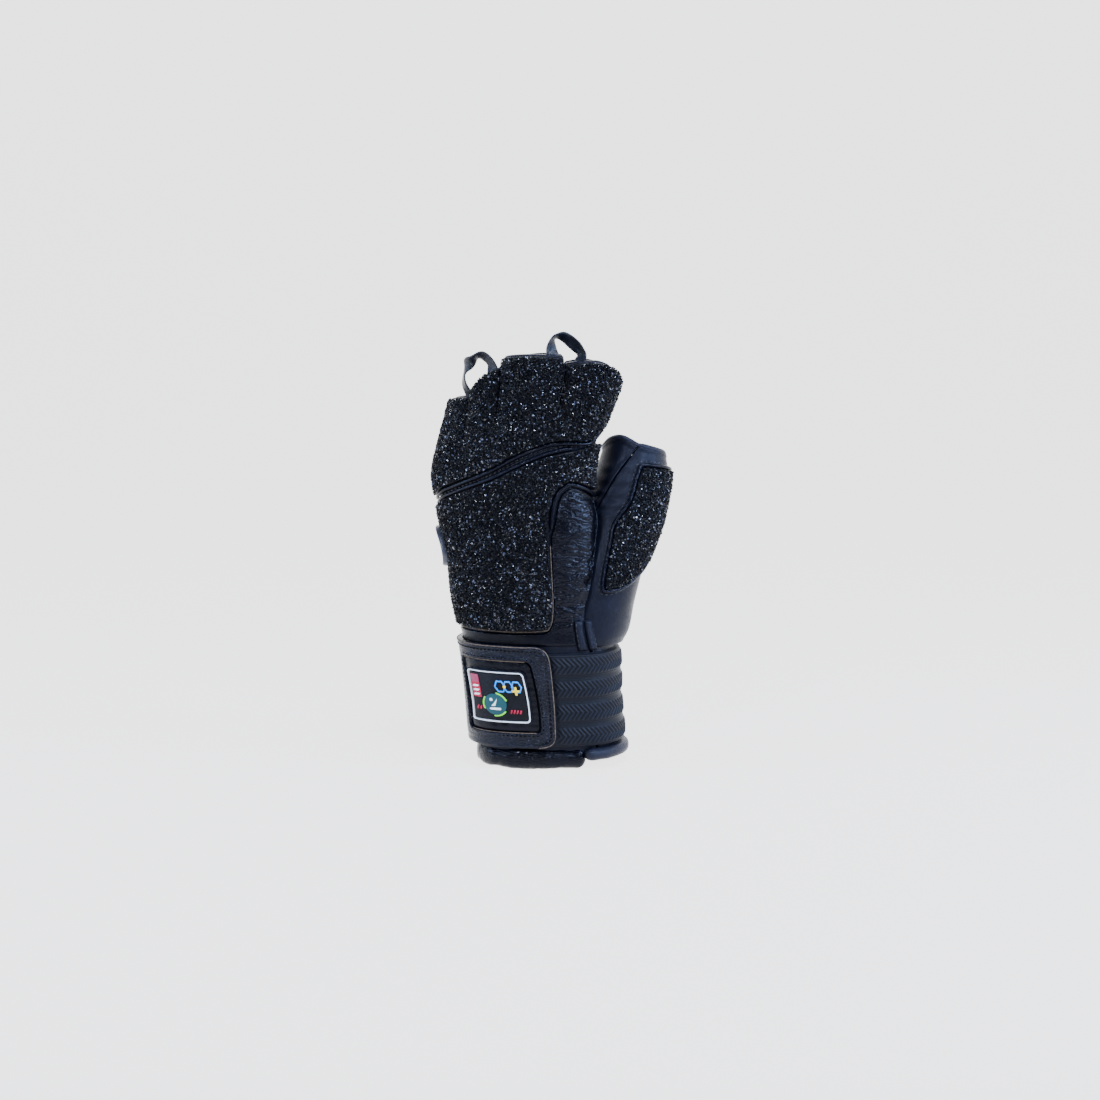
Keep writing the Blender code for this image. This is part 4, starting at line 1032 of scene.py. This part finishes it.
# Grip pads on the back of the hand
pad_fingers = shifted(spline(SLIT_UPPER, 3), 0, PIPING_SHIFT)
pad_fingers += stub_edge(-0.453, 1.400, RIM_STEP, CRUMB_GAPS)
pad_hand = shifted(spline(SLIT_LOWER, 3), 0, -PIPING_SHIFT)
for marks in (PAD_HAND_RIGHT, PAD_HAND_ARCH, PAD_HAND_LOWER):
    pad_hand += spline(marks, 3)
pad_top = COVER + GRIP


def crumb_relief(across, up, apart):
    """Uneven rubber under the grains."""
    return waves(across, up, 0.0022, 7) * 0.00022 + waves(across, up, 0.012, 8) * 0.00012


def grip_pad(name, outline, form, drop, edge, grain_step, grain_size, seed, trim=None, extra=()):
    """A crumb pad: a plain sheet of rubber with the grains pressed into its top."""
    top = pad_top - drop
    make_piece(
        name + "_crumb",
        sheet_part(
            outline, form, COVER - SINK, top - 0.0005, crumb_rubber, 0.0017, edge,
            relief=crumb_relief, trim=trim,
        )
        + [crumb_part(outline, form, top, grain_step, grain_size, crumb_rubber, seed, trim=trim)]
        + list(extra),
        [name],
    )


cut_edge = offset(spline(PAD_HAND_LOWER, 4), -0.0003, hand, COVER, False)
cut_edge = cord_part(hand, cut_edge, COVER + 0.0012, 0.00030, raw_edge)
grip_pad("grip_pad_fingers", pad_fingers, hand, 0.0005, 0.0011, 0.00084, 0.00060, 21)
grip_pad(
    "grip_pad_hand", pad_hand, hand, 0.0005, 0.0011, 0.00084, 0.00060, 22, thumb_cut, [cut_edge]
)

# Piping on both sides of the bending slit, with its line of stitches
for name, marks, side in (
    ("slit_piping_upper", SLIT_UPPER, 1),
    ("slit_piping_lower", SLIT_LOWER, -1),
):
    path = spline(marks, 6)
    make_piece(
        name + "_leather",
        [
            cord_part(hand, path, COVER + PIPING_RADIUS, PIPING_RADIUS * 0.95, piping_leather),
            stitch_part(hand, offset(path, side * 0.0017, hand, COVER, False), COVER, thread),
        ],
        [name],
    )


# Web panel between thumb and hand, swollen and wrinkled where it fills out beside the thumb
def web_swell(turn, height):
    """Outer depth of the web."""
    swell = smooth_step(0.30, 0.05, turn) * smooth_step(0.33, 0.45, height)
    swell = swell * smooth_step(0.70, 0.60, height)
    return COVER + 0.0012 + 0.0014 * swell


def web_relief(across, up, apart):
    """Crinkles that run across the web, strongest in its middle, over slow folds."""
    bend = 0.0016 * waves(across, up, 0.006, 11)
    crinkle = np.abs(waves(across * 0.42 + bend, up + bend, 0.00125, 12))
    crinkle = smooth_step(0.0, 0.42, crinkle)
    finer = smooth_step(0.0, 0.40, np.abs(waves(across * 0.6 - bend, up + bend, 0.00080, 13)))
    strength = smooth_step(0.020, 0.010, across) * smooth_step(0.072, 0.095, up)
    strength = strength * (0.75 + 0.35 * waves(across, up, 0.012, 14))
    fold = waves(across * 0.35, up + across * 0.18, 0.0042, 15) * 0.00060
    slow = waves(across, up, 0.012, 16) * 0.0004
    slow = slow - 0.0013 * (1 - smooth_step(0.0, 0.0075, apart)) * smooth_step(0.080, 0.100, up)
    return crinkle * strength * 0.00060 + finer * strength * 0.00022 + fold * strength + slow


arch_turn, arch_height = -0.060, 0.600
web = [
    (1.440, 0.306), (1.440, 0.3360), (0.735, 0.334), (0.370, 0.337), (0.300, 0.343),
    (0.262, 0.354), (0.229, 0.372), (0.204, 0.415), (0.195, 0.482), (0.187, 0.549),
    (0.180, 0.575), (0.161, 0.585),
]
web += [
    (arch_turn + (turn - arch_turn) * 0.86, arch_height + (height - arch_height) * 0.90)
    for turn, height in spline(WEB_ARCH[:-1], 2)[::-1]
]
web += list(WEB_RIGHT[:-1])[::-1]
web += [(0.005, 0.374), (0.005, 0.306)]
make_piece(
    "web_leather",
    sheet_part(
        web, hand, COVER - SINK, web_swell, shiny_leather, 0.00050, 0.0007,
        relief=web_relief, trim=thumb_cut,
    ),
    ["web_panel"],
)
make_piece(
    "web_piping_leather",
    [cord_part(hand, spline(WEB_ARCH, 8), COVER + PIPING_RADIUS, PIPING_RADIUS * 1.15, piping_leather)],
    ["web_piping"],
)

# Strips on both sides of the wrist slit, stitched along their outer edges
for name, low, high, seam_turn in (
    ("slit_facing_hand", -0.067, -0.006, -0.014),
    ("slit_facing_thumb", -0.144, -0.083, -0.136),
):
    strip = [(low, 0.2925), (high, 0.2925), (high, 0.366), (low, 0.366)]
    line = [(seam_turn, 0.300), (seam_turn, 0.362)]
    make_piece(
        name + "_leather",
        sheet_part(strip, hand, COVER - 0.0006, COVER + 0.0014, matte_leather, 0.0007, 0.0014)
        + [stitch_part(hand, line, COVER + 0.0012, thread)],
        [name],
    )


# Thumb
def thumb_relief(across, up, apart):
    """Smooth leather with small folds where the thumb bends and a soft rim."""
    slow = waves(across, up, 0.015, 17) * 0.00035
    bent = up + 0.0015 * waves(across, up, 0.009, 18)
    folds = np.sin(2 * math.pi * bent / 0.0065) * smooth_step(0.004, -0.006, across)
    folds = folds * smooth_step(0.125, 0.145, up) * smooth_step(0.172, 0.160, up)
    lip = ridge(apart - 0.0009, 0.0008) * 0.00045
    groove = ridge(apart - 0.0026, 0.0007) * 0.00020
    return slow + folds * 0.00028 + lip - groove


thumb_seam = spline(THUMB_SEAM, 5)
rim_marks = spline(THUMB_RIM, 5)
seam_top = thumb_seam[0][0]
# The hidden seam runs down behind the thumb, at turn 2 and -2
hidden, foot, rim_height = 1.992, 0.297, 0.768
outer_thumb = shifted(thumb_seam[::-1], SEAM_GAP)
outer_thumb += [mark for mark in rim_marks if seam_top + 0.03 < mark[0] < 1.98]
outer_thumb += [(hidden, rim_height), (hidden, foot)]
inner_thumb = shifted(thumb_seam, -SEAM_GAP) + [(-hidden, foot), (-hidden, rim_height)]
inner_thumb += [mark for mark in rim_marks if -1.98 < mark[0] < seam_top - 0.03]
outer_rim = [mark for mark in rim_marks if mark[0] >= seam_top - 0.08]
inner_rim = [mark for mark in rim_marks if mark[0] <= seam_top + 0.08]
for name, outline, edge in (
    ("thumb_outer", outer_thumb, outer_rim),
    ("thumb_inner", inner_thumb, inner_rim),
):
    hem = cord_part(thumb, edge, LEATHER * 0.50, 0.00185, soft_leather, sides=12)
    make_piece(
        name + "_leather",
        sheet_part(
            outline, thumb, 0.0, LEATHER, matte_leather, 0.0012, 0.0006,
            relief=thumb_relief, lined=True, trim=hand_cut,
        )
        + [hem],
        [name + "_panel"],
    )
pad = spline(THUMB_PAD + (THUMB_PAD[0],), 4)[:-1]
pad_edge = offset(pad, 0.0012, thumb, COVER)
grip_pad("grip_pad_thumb", pad_edge, thumb, 0.0007, 0.0010, 0.00082, 0.00056, 23)
pad_stitches = offset(pad, -0.0019, thumb, COVER)
make_piece(
    "thumb_piping_leather",
    [
        cord_part(thumb, pad + pad[:1], COVER + 0.0009, 0.00115, piping_leather, closed=True),
        stitch_part(thumb, pad_stitches + pad_stitches[:1], LEATHER, thread),
    ],
    ["thumb_piping"],
)


# Elastic strap: four woven bands of arrowheads between narrow ribbed bands
def strap_weave(across, turn, up):
    """Outer depth of the elastic and the yarn's colour, at lengths round it and up it; that colour is
    painted shade, darker in the weave's hollows and between its ribs and lighter on the raised yarn.
    """
    share = np.clip(up / STRAP_WIDTH, 0, 1)
    band = share * 4
    within = 2 * (band - np.floor(band)) - 1
    ribs = np.abs(np.sin(math.pi * band))
    shown = smooth_step(0.38, 0.30, turn) * smooth_step(-2.05, -1.90, turn)
    arrow = across - 0.0052 * np.abs(within)
    weave = 0.5 + 0.5 * np.cos(2 * math.pi * arrow / ARROW_PITCH)
    double = 0.5 + 0.5 * np.cos(4 * math.pi * arrow / ARROW_PITCH)
    weave = 0.75 * weave + 0.25 * double
    inner_band = smooth_step(0.70, 0.58, np.abs(within))
    lines = 0.5 + 0.5 * np.cos(2 * math.pi * up / RIB_PITCH)
    plain = smooth_step(0.955, 0.975, share) + smooth_step(0.03, 0.02, share)
    woven = weave * inner_band * (1 - plain) * 0.00085
    woven = woven + lines * (1 - inner_band) * 0.00030
    # Colour that follows the relief: painted shade in the hollows, lighter on the raised yarn.
    yarn = np.where(inner_band > 0.5, weave * (1 - plain) + 0.4 * plain, 0.15 + 0.45 * lines)
    edge = np.minimum(up, STRAP_WIDTH - up)
    rounded = np.sqrt(np.maximum(1 - (1 - np.clip(edge / 0.0010, 0, 1)) ** 2, 0))
    slow = waves(across, up, 0.020, 25) * 0.0004
    full = ELASTIC + shown * (0.0006 * ribs ** 0.6 + woven + slow)
    return COVER - SINK + (full + SINK) * rounded, yarn


def strap_grid(low, high, across_step, up_step):
    """Part of the strap between two turns, as an even grid."""
    middle = (STRAP_BOTTOM + STRAP_WIDTH / 2) / GLOVE_HEIGHT
    run = hand.run_at(middle)
    start, end = np.interp([low, high], hand.turns, run)
    columns = np.linspace(start, end, int((end - start) / across_step) + 2)
    edges = [0.00005, 0.00015, 0.00030, 0.00055, 0.00085]
    ups = [0, *edges, *np.arange(0.0012, STRAP_WIDTH - 0.0011, up_step)]
    ups += [STRAP_WIDTH - edge for edge in reversed([0, *edges])]
    across, up = np.meshgrid(columns, ups, indexing="ij")
    turn = np.interp(across, run, hand.turns)
    height = (STRAP_BOTTOM + up) / GLOVE_HEIGHT
    depth, yarn = strap_weave(across, turn, up)
    points = hand_points(turn, height, depth)
    wide, tall = across.shape
    index = np.arange(wide * tall).reshape(wide, tall)
    faces = np.stack([index[:-1, :-1], index[:-1, 1:], index[1:, 1:], index[1:, :-1]], -1)
    flat = np.stack([across, up], -1).reshape(-1, 2)
    corners = faces.reshape(-1, 4).tolist()
    return (points.reshape(-1, 3), corners, elastic_cloth, True, yarn.ravel(), flat)


make_piece(
    "elastic_strap_woven",
    [
        strap_grid(-0.700, 0.430, 0.00036, 0.00036),
        strap_grid(0.430, 1.850, 0.0020, 0.0020),
        strap_grid(-2.080, -0.700, 0.00048, 0.00042),
    ],
    ["elastic_strap"],
)


def on_hand(centre, across, up, depth):
    """Turn and height of a spot at real lengths right of and above a centre."""
    height = centre[1] + up / GLOVE_HEIGHT
    turn = centre[0]
    for _ in range(6):
        turn -= turn_for(across / 6, turn, height, depth)
    return (turn, height)


def rounded_patch(centre, half_width, half_height, radius, depth, steps=6):
    """Outline of a rectangle with round corners, laid on the hand round a centre."""
    pairs = []
    for quarter, (out_x, out_z) in enumerate(((1, 1), (-1, 1), (-1, -1), (1, -1))):
        for step in range(steps + 1):
            angle = (quarter + step / steps) * math.pi / 2
            across = out_x * (half_width - radius) + radius * math.cos(angle)
            up = out_z * (half_height - radius) + radius * math.sin(angle)
            pairs.append(on_hand(centre, across, up, depth))
    return pairs


# Flap over the strap, with raw cut edges, two lines of stitches and a window for the badge
flap_top = OVER_STRAP + FLAP
flap = [(0.395, 0.100), (0.378, 0.206), (0.367, 0.262), (0.372, 0.285), (0.400, 0.298)]
flap += [(0.450, 0.305), (0.520, 0.308), (1.830, 0.308), (1.830, 0.0565), (0.640, 0.0565)]
flap += [(0.520, 0.060), (0.440, 0.068), (0.405, 0.080)]
window_size = (BADGE_HALF_WIDTH + WINDOW_MARGIN, BADGE_HALF_HEIGHT + WINDOW_MARGIN)
window = rounded_patch(BADGE_CENTRE, *window_size, BADGE_CORNER * 1.5, flap_top)
flap_edge = [(1.790, 0.308), (0.900, 0.308), (0.620, 0.308), *flap[6::-1], *flap[12:8:-1]]
flap_edge = spline(flap_edge, 4)
edge_line = offset(flap_edge, 0.00055, hand, flap_top, False)
flap_line = offset(flap_edge, 0.0028, hand, flap_top, False)
window_line = offset(window, -0.0016, hand, flap_top)


def flap_relief(across, up, apart):
    """A flap pressed down by its seams, with a soft roll along its edge."""
    seam = ridge(apart - 0.0030, 0.0007) * 0.00028
    roll = ridge(apart - 0.0014, 0.0011) * 0.00022
    return roll - seam + waves(across, up, 0.018, 31) * 0.0003 + waves(across, up, 0.003, 32) * 0.00006


make_piece(
    "strap_flap_leather",
    sheet_part(
        flap, hand, OVER_STRAP - 0.0010, flap_top, pebbled_leather, 0.0011, 0.0006,
        holes=[window], relief=flap_relief,
    )
    + [
        cord_part(hand, edge_line, flap_top - 0.00002, 0.00030, raw_edge),
        cord_part(hand, window[5:9], flap_top - 0.0004, 0.00030, raw_edge),
        cord_part(hand, window[19:23], flap_top - 0.0004, 0.00030, raw_edge),
    ]
    # The flap's stitches, in thread darkened as painted shade of their holes
    + [
        stitch_part(hand, line, flap_top, shade_darkened_thread, 0.0015, 0.0009, 0.00034)
        for line in (flap_line, window_line + window_line[:1])
    ],
    ["strap_flap"],
)


# Window let into the flap, and the badge that stands in it
def window_relief(across, up, apart):
    """Small creases that lie level."""
    fold = np.sin(2 * math.pi * (up + 0.0008 * waves(across, up, 0.006, 41)) / 0.0034)
    return waves(across, up, 0.0030, 42) * 0.00022 + fold * 0.00008


window_inner = rounded_patch(
    BADGE_CENTRE, window_size[0] - 0.0004, window_size[1] - 0.0004, BADGE_CORNER * 1.5, flap_top
)
make_piece(
    "badge_window_leather",
    sheet_part(
        window_inner, hand, OVER_STRAP - 0.0010, OVER_STRAP + WINDOW, shiny_leather, 0.0009, 0.0005,
        relief=window_relief,
    ),
    ["badge_window"],
)
badge_top = OVER_WINDOW + BADGE


def badge_ring(inward):
    """The badge's outline, moved inwards."""
    half_width, half_height = BADGE_HALF_WIDTH - inward, BADGE_HALF_HEIGHT - inward
    corner = BADGE_CORNER - inward / 2
    return rounded_patch(BADGE_CENTRE, half_width, half_height, corner, OVER_WINDOW, 8)


make_piece(
    "badge_border_moulded",
    sheet_part(
        badge_ring(0.00060), hand, OVER_WINDOW - 0.0009, badge_top + 0.0005, border_rubber, 0.0006,
        0.00035, holes=[badge_ring(0.00150)],
    )
    + sheet_part(
        badge_ring(0), hand, OVER_WINDOW - 0.0012, badge_top + 0.00025, patch_rubber, 0.0006,
        0.00028, holes=[badge_ring(0.00058)],
    ),
    ["badge_border"],
)


def motif(shape, colour, raised, hole=None):
    """A raised, coloured shape of the badge, from (right, up) pairs in millimetres."""
    top = badge_top + raised

    def laid(pairs):
        """The pairs on the hand."""
        return [on_hand(BADGE_CENTRE, x / 1000, y / 1000, badge_top) for x, y in pairs]

    holes = [laid(hole)] if hole else []
    return sheet_part(laid(shape), hand, badge_top - 0.0003, top, colour, 0.0006, 0.00018, holes)


def polygon(x, y, radius, count, squash=1.0):
    """Corners of an even shape round a middle."""
    angles = [2 * math.pi * step / count for step in range(count)]
    return [(x + radius * math.cos(a), y + squash * radius * math.sin(a)) for a in angles]


def bar(x, y, wide, tall, lean=0.0):
    """Corners of a bar, leaning right at its top."""
    return [
        (x - wide / 2 - lean, y - tall / 2),
        (x + wide / 2 - lean, y - tall / 2),
        (x + wide / 2 + lean, y + tall / 2),
        (x - wide / 2 + lean, y + tall / 2),
    ]


crimson = print_material("print_crimson", (0.300, 0.006, 0.034))
pink = print_material("print_pink", (0.240, 0.034, 0.080))
teal = print_material("print_teal", (0.004, 0.046, 0.060))
green = print_material("print_green", (0.160, 0.560, 0.045))
azure = print_material("print_azure", (0.003, 0.200, 0.640))
yellow = print_material("print_yellow", (0.700, 0.500, 0.020))
white = print_material("print_white", (0.640, 0.680, 0.740))
badge_parts = sheet_part(
    badge_ring(0.0016), hand, OVER_WINDOW - 0.0009, badge_top, twill_ground, 0.0009, 0.0004
)
for x in (1.9, 6.9, 11.9):
    outer, hole = (polygon(x, 6.0, radius, 6, 1.1) for radius in (3.4, 2.4))
    badge_parts += motif(outer, azure, 0.0006, hole)
shield_x, shield_y = -2.6, -4.0
shield = polygon(shield_x, shield_y, 6.4, 40, 0.92)
peak = [(-2.6, -1.0), (0.0, -1.0), (1.6, 3.6), (-0.4, 1.0)]
for shape, colour, raised in (
    (bar(11.0, 3.8, 4.6, 1.3), yellow, 0.0009),
    (bar(11.0, 3.8, 1.3, 4.6), yellow, 0.0009),
    (polygon(4.4, 6.0, 0.9, 12), yellow, 0.0008),
    (bar(-12.9, 5.4, 5.4, 12.4), crimson, 0.0004),
    (bar(-12.9, 9.4, 5.4, 4.4), pink, 0.0006),
    *((bar(-12.9, y, 3.8, 1.2, 0.5), white, 0.0007) for y in (5.4, 3.1, 0.8)),
    (shield, teal, 0.0005),
    (bar(shield_x, shield_y - 2.4, 6.4, 1.3), white, 0.0009),
    ([(shield_x + x, shield_y + y) for x, y in peak], white, 0.0009),
    (polygon(shield_x - 2.0, shield_y + 2.6, 0.9, 12), white, 0.0009),
):
    badge_parts += motif(shape, colour, raised)
for x, y in ((-13.4, -6.4), (-11.4, -6.4), (6.6, -7.8), (8.4, -7.8), (10.2, -7.8), (12.0, -7.8)):
    badge_parts += motif(bar(x, y, 1.1, 2.2, 0.3), crimson, 0.0005)
for first in (2, 16, 29):
    arc = shield[first:first + 8]
    grown = [(shield_x + (x - shield_x) * 1.15, shield_y + (y - shield_y) * 1.15) for x, y in arc]
    badge_parts += motif(arc + grown[::-1], green, 0.0006)
make_piece("badge_moulded", badge_parts, ["badge"])

# Round button on the little finger's side, left bare
button_middle = COVER + GRIP + 2 * CLEARANCE


def circle_on_hand(radius):
    """Outline of a circle round the button's middle."""
    scale = turn_for(1.0, *EMBLEM_CENTRE, COVER + GRIP)
    turn, height = EMBLEM_CENTRE
    return [
        (turn + radius * scale * math.cos(a), height + radius / GLOVE_HEIGHT * math.sin(a))
        for a in (2 * math.pi * step / 56 for step in range(56))
    ]


make_piece(
    "side_emblem_rim_moulded",
    sheet_part(
        circle_on_hand(EMBLEM_RADIUS), hand, button_middle - 0.0012,
        button_middle + EMBLEM_THICKNESS + 0.0002, button_rubber, 0.0008, 0.0007,
        holes=[circle_on_hand(EMBLEM_RADIUS - EMBLEM_RIM)],
    ),
    ["side_emblem_rim"],
)


def button_relief(across, up, apart):
    """A raised ring near the button's edge."""
    return ridge(apart - 0.0022, 0.0005) * 0.00030


make_piece(
    "side_emblem_moulded",
    sheet_part(
        circle_on_hand(EMBLEM_RADIUS - EMBLEM_RIM - 0.0002), hand, button_middle - 0.0012,
        button_middle + EMBLEM_THICKNESS * 0.6, emblem_rubber, 0.0007, 0.0004,
        relief=button_relief,
    ),
    ["side_emblem"],
)

# Padded rolls at the wrist's lower edge
for name, first, final, middle, lift, material, slot, wrinkle in (
    ("cuff_roll_back", -0.020, 1.900, 0.0010, 0.0, roll_leather, "shiny_leather", 0.55),
    ("cuff_roll_palm", -0.008, -2.060, 0.0044, ROLL_LIFT, soft_leather, "matte_leather", 0.30),
):
    turns = first + (final - first) * np.linspace(0, 1, 190)
    raised = lift * smooth_step(1.20, 0.40, -turns)
    halves = (ROLL_HEIGHT - raised) / 2
    centre = hand_points(turns, (raised + halves) / GLOVE_HEIGHT, middle)
    out = hand_points(turns, (raised + halves) / GLOVE_HEIGHT, middle + 0.001) - centre
    run = run_along(centre)
    near = np.minimum(run, run[-1] - run)
    cap = np.sqrt(1 - (1 - np.clip((near + 0.0006) / 0.0045, 0, 1)) ** 2)
    sides = 28
    girth = np.linspace(0, 1, sides, endpoint=False) * 2 * math.pi
    around, along = np.meshgrid(np.sin(girth) * 0.006, run)
    facing, _ = np.meshgrid(np.cos(girth) * 0.006, run)
    folds = waves(along + around * 0.8, facing, 0.0050, 51) * 0.00055
    folds += waves(along + around * 0.5, facing, 0.0022, 52) * 0.00022
    slow = waves(along, around, 0.016, 53) * 0.00035
    shape = 1 + (folds * wrinkle + slow) / 0.0050
    make_roll = tube_part(
        centre,
        unit(out),
        halves[:, None] * cap[:, None] * shape * 0.985,
        (ROLL_THICKNESS / 2) * cap[:, None] * shape,
        material,
        sides,
        2.3,
    )
    roll = make_piece(name + "_leather", [make_roll], [name])

# Ribbon loops between the fingers: x, y and height as shares of the glove's sizes, then degrees
LOOP_MIDDLE = (
    (0.022, -0.382, 0.958, 0, 0),
    (0.018, -0.382, 0.990, 0, 5),
    (0.008, -0.340, 1.015, -10, 40),
    (0.026, -0.290, 1.040, -50, 75),
    (0.075, -0.270, 1.040, -105, 40),
    (0.132, -0.270, 1.022, -125, 25),
    (0.168, -0.280, 1.003, -160, 50),
    (0.165, -0.320, 0.985, -180, 25),
    (0.158, -0.345, 0.955, -180, 0),
)
LOOP_LITTLE = (
    (-0.425, 0.186, 0.862, 0, -32),
    (-0.432, 0.180, 0.892, 0, -32),
    (-0.470, 0.150, 0.922, 0, -65),
    (-0.465, 0.080, 0.960, -20, -75),
    (-0.418, 0.015, 0.988, -60, 60),
    (-0.365, -0.020, 0.994, -90, 45),
    (-0.322, -0.055, 0.978, -135, 50),
    (-0.308, -0.070, 0.952, -170, 20),
    (-0.305, -0.080, 0.915, -180, 0),
)


def ribbon_part(rows, seed):
    """A flat woven ribbon along a table of rows, a little bowed across its width."""
    path = np.array(spline(rows, 14))
    centre = path[:, :3] * (HAND_WIDTH, HAND_DEPTH, GLOVE_HEIGHT)
    along = unit(np.gradient(centre, axis=0))
    lean, yaw = np.radians(path[:, 3]), np.radians(path[:, 4])
    across = np.stack([np.cos(lean) * np.cos(yaw), np.sin(yaw), np.sin(lean) * np.cos(yaw)], -1)
    across = unit(across - along * np.sum(across * along, axis=1, keepdims=True))
    through = np.cross(along, across)
    run = run_along(centre)
    places = np.linspace(-1, 1, 13)
    bow = waves(run, run * 0, 0.008, seed)[:, None] * (places ** 2 - 0.5) * 0.0007
    edge = np.where(np.abs(places) > 0.86, 1.25, 1.0)
    sides = []
    for side in (1, -1):
        lift = bow + side * RIBBON / 2 * edge * np.sqrt(1 - 0.75 * places ** 8)
        row = (
            centre[:, None]
            + across[:, None] * (places * RIBBON_WIDTH / 2)[None, :, None]
            + through[:, None] * lift[..., None]
        )
        sides.append(row if side == 1 else row[:, ::-1])
    ring = np.concatenate(sides, axis=1)
    count, wide = ring.shape[:2]
    faces = [[a, d, c, b] for a, b, c, d in ring_faces(count, wide)]
    faces += [list(range(wide)), list(range(count * wide - wide, count * wide))[::-1]]
    girth = np.concatenate([places, places[::-1]]) * RIBBON_WIDTH / 2
    flat = np.stack(np.meshgrid(run, girth, indexing="ij"), -1).reshape(-1, 2)
    return (ring.reshape(-1, 3), faces, ribbon_cloth, True, None, flat)


for name, rows, seed in (
    ("pull_loop_middle", LOOP_MIDDLE, 61),
    ("pull_loop_little", LOOP_LITTLE, 62),
):
    make_piece(name + "_woven", [ribbon_part(rows, seed)], [name])

# Plain studio: a pale sweep under and behind the glove, with large soft lights
sweep_material = shader_material("backdrop", (0.15, 0.15, 0.15), 0.95, 0.0)
shader_of(sweep_material).inputs["Emission Color"].default_value = (1.0, 1.0, 1.0, 1.0)
sweep_place = node(sweep_material, "ShaderNodeTexCoord")
sweep_split = node(sweep_material, "ShaderNodeSeparateXYZ")
link(sweep_material, sweep_place, "Object", sweep_split, "Vector")
add_range(
    sweep_material, sweep_split, "Y", 0.40, 2.62, "Emission Strength",
    interpolation_type="SMOOTHSTEP", From_Min=-0.62, From_Max=-0.40,
)
profile = [(-1.4, 0.0), (1.2, 0.0)]
profile += [
    (1.2 + 0.7 * math.sin(a), 0.7 - 0.7 * math.cos(a)) for a in np.linspace(0.1, math.pi / 2, 12)
]
profile += [(1.9, 3.0)]
sweep_points = [(x, y, z) for y, z in profile for x in (-12.0, 12.0)]
sweep_faces = [(2 * k, 2 * k + 1, 2 * k + 3, 2 * k + 2) for k in range(len(profile) - 1)]
sweep_mesh = bpy.data.meshes.new("backdrop")
sweep_mesh.from_pydata(sweep_points, [], sweep_faces)
sweep_mesh.materials.append(sweep_material)
sweep_mesh.polygons.foreach_set("use_smooth", [True] * len(sweep_faces))
backdrop = bpy.data.objects.new("backdrop", sweep_mesh)
scene.collection.objects.link(backdrop)

world = bpy.data.worlds.new("studio")
world.use_nodes = True
background = world.node_tree.nodes["Background"]
background.inputs["Color"].default_value = (0.86, 0.90, 1.0, 1)
background.inputs["Strength"].default_value = 0.32
scene.world = world


def area_light(name, location, size, power, colour):
    """A soft light that faces the middle of the glove."""
    data = bpy.data.lights.new(name, "AREA")
    data.shape = "RECTANGLE"
    data.size, data.size_y = size
    data.energy = power
    data.color = colour
    light = bpy.data.objects.new(name, data)
    light.location = location
    direction = Vector((0, 0, 0.12)) - Vector(location)
    light.rotation_euler = direction.to_track_quat("-Z", "Y").to_euler()
    scene.collection.objects.link(light)


area_light("top_softbox", (0.20, -0.35, 1.05), (0.30, 0.22), 20, (0.70, 0.80, 1.0))
area_light("left_key", (-0.55, -0.95, 0.72), (0.16, 0.16), 12, (0.80, 0.87, 1.0))
area_light("right_key", (0.62, -0.90, 0.62), (0.16, 0.16), 12, (0.66, 0.78, 1.0))
area_light("left_strip", (-0.85, -0.10, 0.42), (0.12, 0.60), 10, (0.44, 0.62, 1.0))
area_light("right_strip", (0.80, -0.25, 0.45), (0.12, 0.50), 16, (0.50, 0.66, 1.0))
